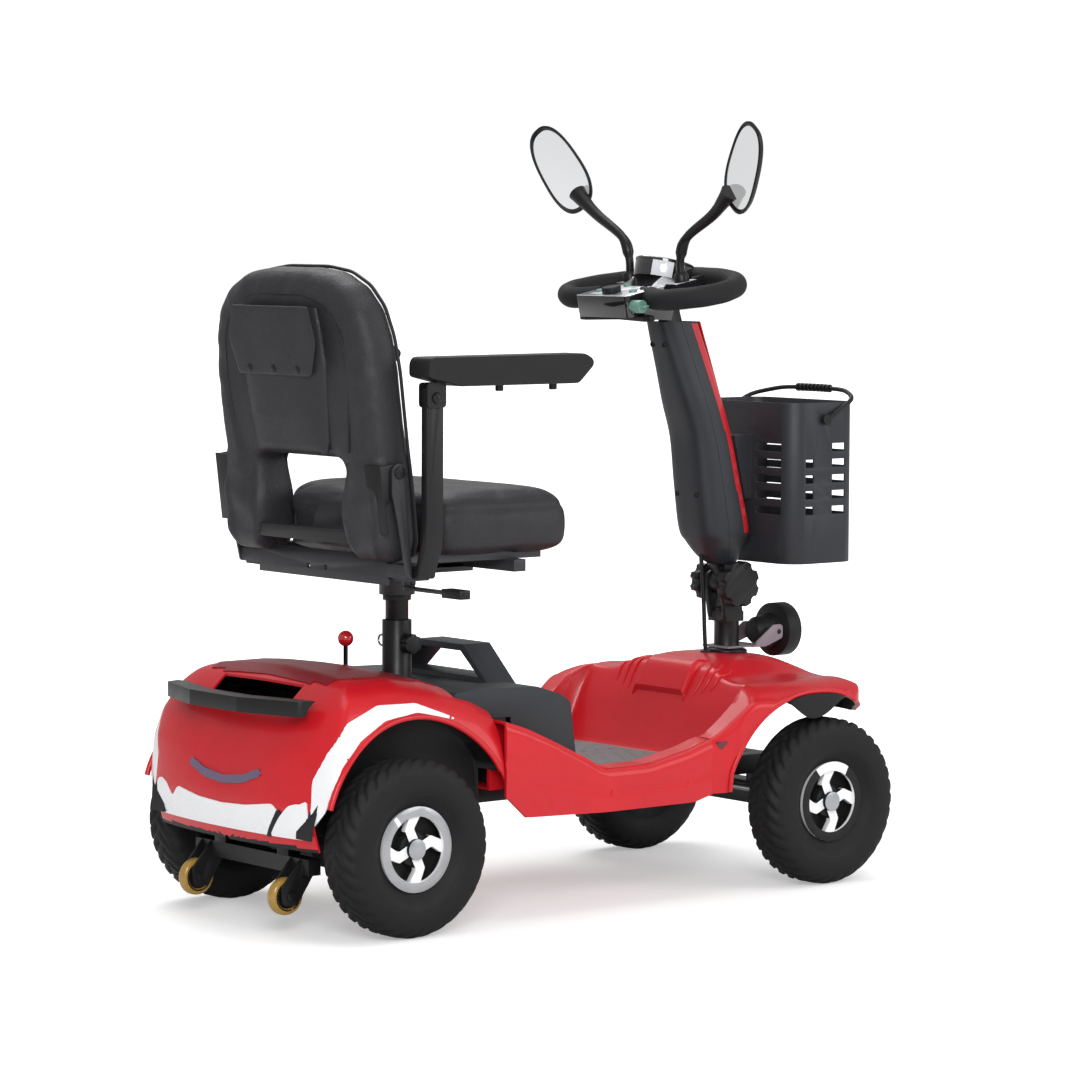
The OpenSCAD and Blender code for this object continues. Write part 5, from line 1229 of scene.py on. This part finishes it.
def fromDial(p):  # from the round display's frame to the loop's, then to the scooter's
    p = np.asarray(p, float)
    y = dial["y"] + p[..., 1] * cos(turn) - p[..., 2] * sin(turn)
    z = dial["z"] + p[..., 1] * sin(turn) + p[..., 2] * cos(turn)
    return fromLoop(np.stack([p[..., 0], y, z], -1))


def dialDisc(profile, steps=64):  # a profile of (height, r) turned about the upright axis
    points, faces = turned(profile, (0, 0, 0), steps)
    return points[:, [1, 2, 0]], faces




def spun(first, second, degrees):  # two coordinates turned in their own plane
    c, s = cos(radians(degrees)), sin(radians(degrees))
    return first * c - second * s, first * s + second * c


rimProfile = [(10, 40), (10.5, 46.4), (14, 46.6), (15.5, 45), (15.5, 42), (13.6, 41), (12, 40)]
faceProfile = [(12.1, 0.3), (12.1, 41.5), (13.0, 41.2), (13.4, 0.3)]
for name, finish, profile in (("display rim", "pianoBlack", rimProfile),
        ("display face", "faceWhite", faceProfile)):
    points, faces = dialDisc(profile)
    obj = newPiece(name, fromDial(points), faces, finish, "tiller", (), 40)
    rebuild(obj)
for k in range(dial["marks"]):
    bar, faces = boxOf((30, 38), (-0.9, 0.9), (13.2, 14.0))
    x, y, z = np.array(bar, float).T
    x, y = spun(x, y, 200 - k * 27.5)
    finish = "pianoBlack" if k < dial["marks"] - dial["redMarks"] else "stripRed"
    newPiece(f"display mark {k}", fromDial(np.stack([x, y, z], -1)), faces, finish, "tiller", (), 40)
for k, (x, y) in enumerate(((-40, 62), (-40, 40), (40, 62), (40, 40), (22, 20))):
    points, faces = dialDisc([(11.6, 0.2), (11.6, 7.0), (14.4, 6.6), (15.2, 5.6), (15.2, 0.2)], 32)
    finish = "pianoBlack" if k % 2 else "keyGreen"
    obj = newPiece(f"console button {k}", fromLoop(points + [x, y, 0]), faces, finish, "tiller")
    rebuild(obj)
print("console made")

mirror = dict(x=221, y=-236, z=1114, tip=12, nod=6, turn=34, length=77, width=42, power=2.6)


a = np.linspace(0, 2 * pi, 96, endpoint=False)
oval = np.stack([mirror["width"] * np.cos(a) * (1 - 0.10 * np.sin(a)), mirror["length"] * np.sin(a)], -1)
full = np.abs(np.cos(a)) ** mirror["power"] + np.abs(np.sin(a)) ** mirror["power"]
oval *= (1 / full ** (1 / mirror["power"]))[:, None]  # fuller at the corners than an ellipse


def head(scale, y):  # one ring of the mirror's head at a depth, turned about three axes
    x, z = spun(oval[:, 0], oval[:, 1], -mirror["turn"])
    x, y = spun(x * scale, np.full(96, float(y)), mirror["tip"])
    y, z = spun(y, z * scale, -mirror["nod"])
    return np.stack([x + mirror["x"], y + mirror["y"], z + mirror["z"]], -1)


for side, sign in sidesOf:
    node, body = f"mirror_{side}", bodyOf[f"mirror_{side}"]
    stalk = curveThrough([(62, -248, 944), (62, -246, 974), (78, -245, 1006), (138, -244, 1040),
        (168, -241, 1062), (184, -240, 1076)], 8)
    along = np.linspace(0, 1, len(stalk))
    thick = np.interp(along, [0, 0.2, 0.25, 0.32, 0.4, 0.7, 1], [6.4, 6.4, 9.0, 9.0, 7.0, 9.5, 15])
    parts = [sweep(stalk, thick, 18, reference=(0, 1, 0))]
    boss, bossFaces = turned([(-1.5, 0.2), (-1.5, 7), (12.6, 7), (12.6, 12), (22, 11.5), (27, 8), (28, 0.2)],
        (0, 0, 0), 36)
    parts.append((fromLoop(boss[:, [1, 2, 0]] + [62, -20, 0]), bossFaces))
    parts.append(loft([head(0.05, -12), head(0.45, -11), head(0.75, -8.5), head(0.93, -4.5), head(0.995, 0),
        head(1.0, 3.4), head(0.95, 4.6), head(0.90, 1.0), head(0.1, 1.0)]))
    points, faces = merged(parts)
    obj = newPiece(f"mirror {side}", points * [sign, 1, 1], faces, "satinBlack", body, [node], 40)
    rebuild(obj)
    smooth(obj, 45)
    # the glass glows white as well as mirroring: a painted reflection
    points, faces = loft([head(0.90, 1.2), head(0.895, 2.0), head(0.5, 2.2), head(0.05, 2.3)])
    glass = newPiece(f"mirror glass {side}", points * [sign, 1, 1], faces, "mirrorGlass", body, (), 40)
    rebuild(glass)
    smooth(glass, 60)
print("mirrors made")

cablePath = curveThrough([(5, -350, 512), (5, -354, 470), (4, -357, 420), (3, -358, 380), (2, -360, 341)], 10)
points, faces = sweep(cablePath, 3.4, 16, reference=(0, 1, 0))
newPiece("tiller cable", points, faces, "satinBlack", bodyOf["tiller_cable"], ["tiller_cable"], 60)

floorMesh = bpy.data.meshes.new("studio floor")
floorMesh.from_pydata([(-30, -30, 0), (30, -30, 0), (30, 30, 0), (-30, 30, 0)], [], [(0, 1, 2, 3)])
floor = bpy.data.objects.new("studio floor", floorMesh)
shown.objects.link(floor)
paper = bpy.data.materials.new("studioPaper")
paper.use_nodes = True
tree = paper.node_tree
shader = tree.nodes["Principled BSDF"]
shader.inputs["Base Color"].default_value = (0.90, 0.90, 0.90, 1)
shader.inputs["Roughness"].default_value = 0.9
shader.inputs["Emission Color"].default_value = (1, 1, 1, 1)
reach = tree.nodes.new("ShaderNodeVectorMath")
reach.operation = "LENGTH"
rise = tree.nodes.new("ShaderNodeMapRange")
for title, value in (("From Min", 0.6), ("From Max", 3.2), ("To Min", 0.36), ("To Max", 1.1)):
    rise.inputs[title].default_value = value
tree.links.new(tree.nodes.new("ShaderNodeTexCoord").outputs["Object"], reach.inputs[0])
tree.links.new(reach.outputs["Value"], rise.inputs["Value"])
seen = tree.nodes.new("ShaderNodeLightPath").outputs["Is Camera Ray"]
glow = maths(tree, "MULTIPLY", seen, rise.outputs["Result"])  # to the camera only, stronger far from the scooter
tree.links.new(glow, shader.inputs["Emission Strength"])
floorMesh.materials.append(paper)

world = bpy.data.worlds.new("studio")
bpy.context.scene.world = world
world.use_nodes = True
sky = world.node_tree.nodes["Background"]  # white to the camera, dimmer as light
sky.inputs[0].default_value = (1.0, 1.0, 1.0, 1)
level = world.node_tree.nodes.new("ShaderNodeMapRange")
level.inputs["To Min"].default_value, level.inputs["To Max"].default_value = 0.46, 1.02
seen = world.node_tree.nodes.new("ShaderNodeLightPath").outputs["Is Camera Ray"]
world.node_tree.links.new(seen, level.inputs["Value"])
world.node_tree.links.new(level.outputs["Result"], sky.inputs[1])

lights = dict(key=((-4.4, 3.4, 2.6), 170, 2.2), fill=((-3.8, -3.0, 2.2), 60, 2.8),
    back=((2.6, -1.0, 4.2), 70, 2.5), top=((0.0, 0.0, 4.6), 60, 3.2))
for name, (place, power, size) in lights.items():
    data = bpy.data.lights.new(name, "AREA")
    data.energy, data.size = power, size
    lamp = bpy.data.objects.new(name, data)
    lamp.location = place
    lamp.rotation_euler = (Vector((0, 0, 0.5)) - Vector(place)).to_track_quat("-Z", "Y").to_euler()
    shown.objects.link(lamp)

view = dict(place=(-4.9386, 3.9679, 1.0364), target=(0, -0.0174, 0.5408), roll=0.229, lens=137.7)
data = bpy.data.cameras.new("camera")
data.lens, data.sensor_width, data.clip_end = view["lens"], 36, 100
camera = bpy.data.objects.new("camera", data)
aim = (Vector(view["target"]) - Vector(view["place"])).to_track_quat("-Z", "Y").to_matrix().to_4x4()
camera.matrix_world = Matrix.Translation(view["place"]) @ aim @ Matrix.Rotation(radians(view["roll"]), 4, "Z")
shown.objects.link(camera)
bpy.context.scene.camera = camera
bpy.context.scene.view_settings.view_transform = "Standard"
print("studio made")
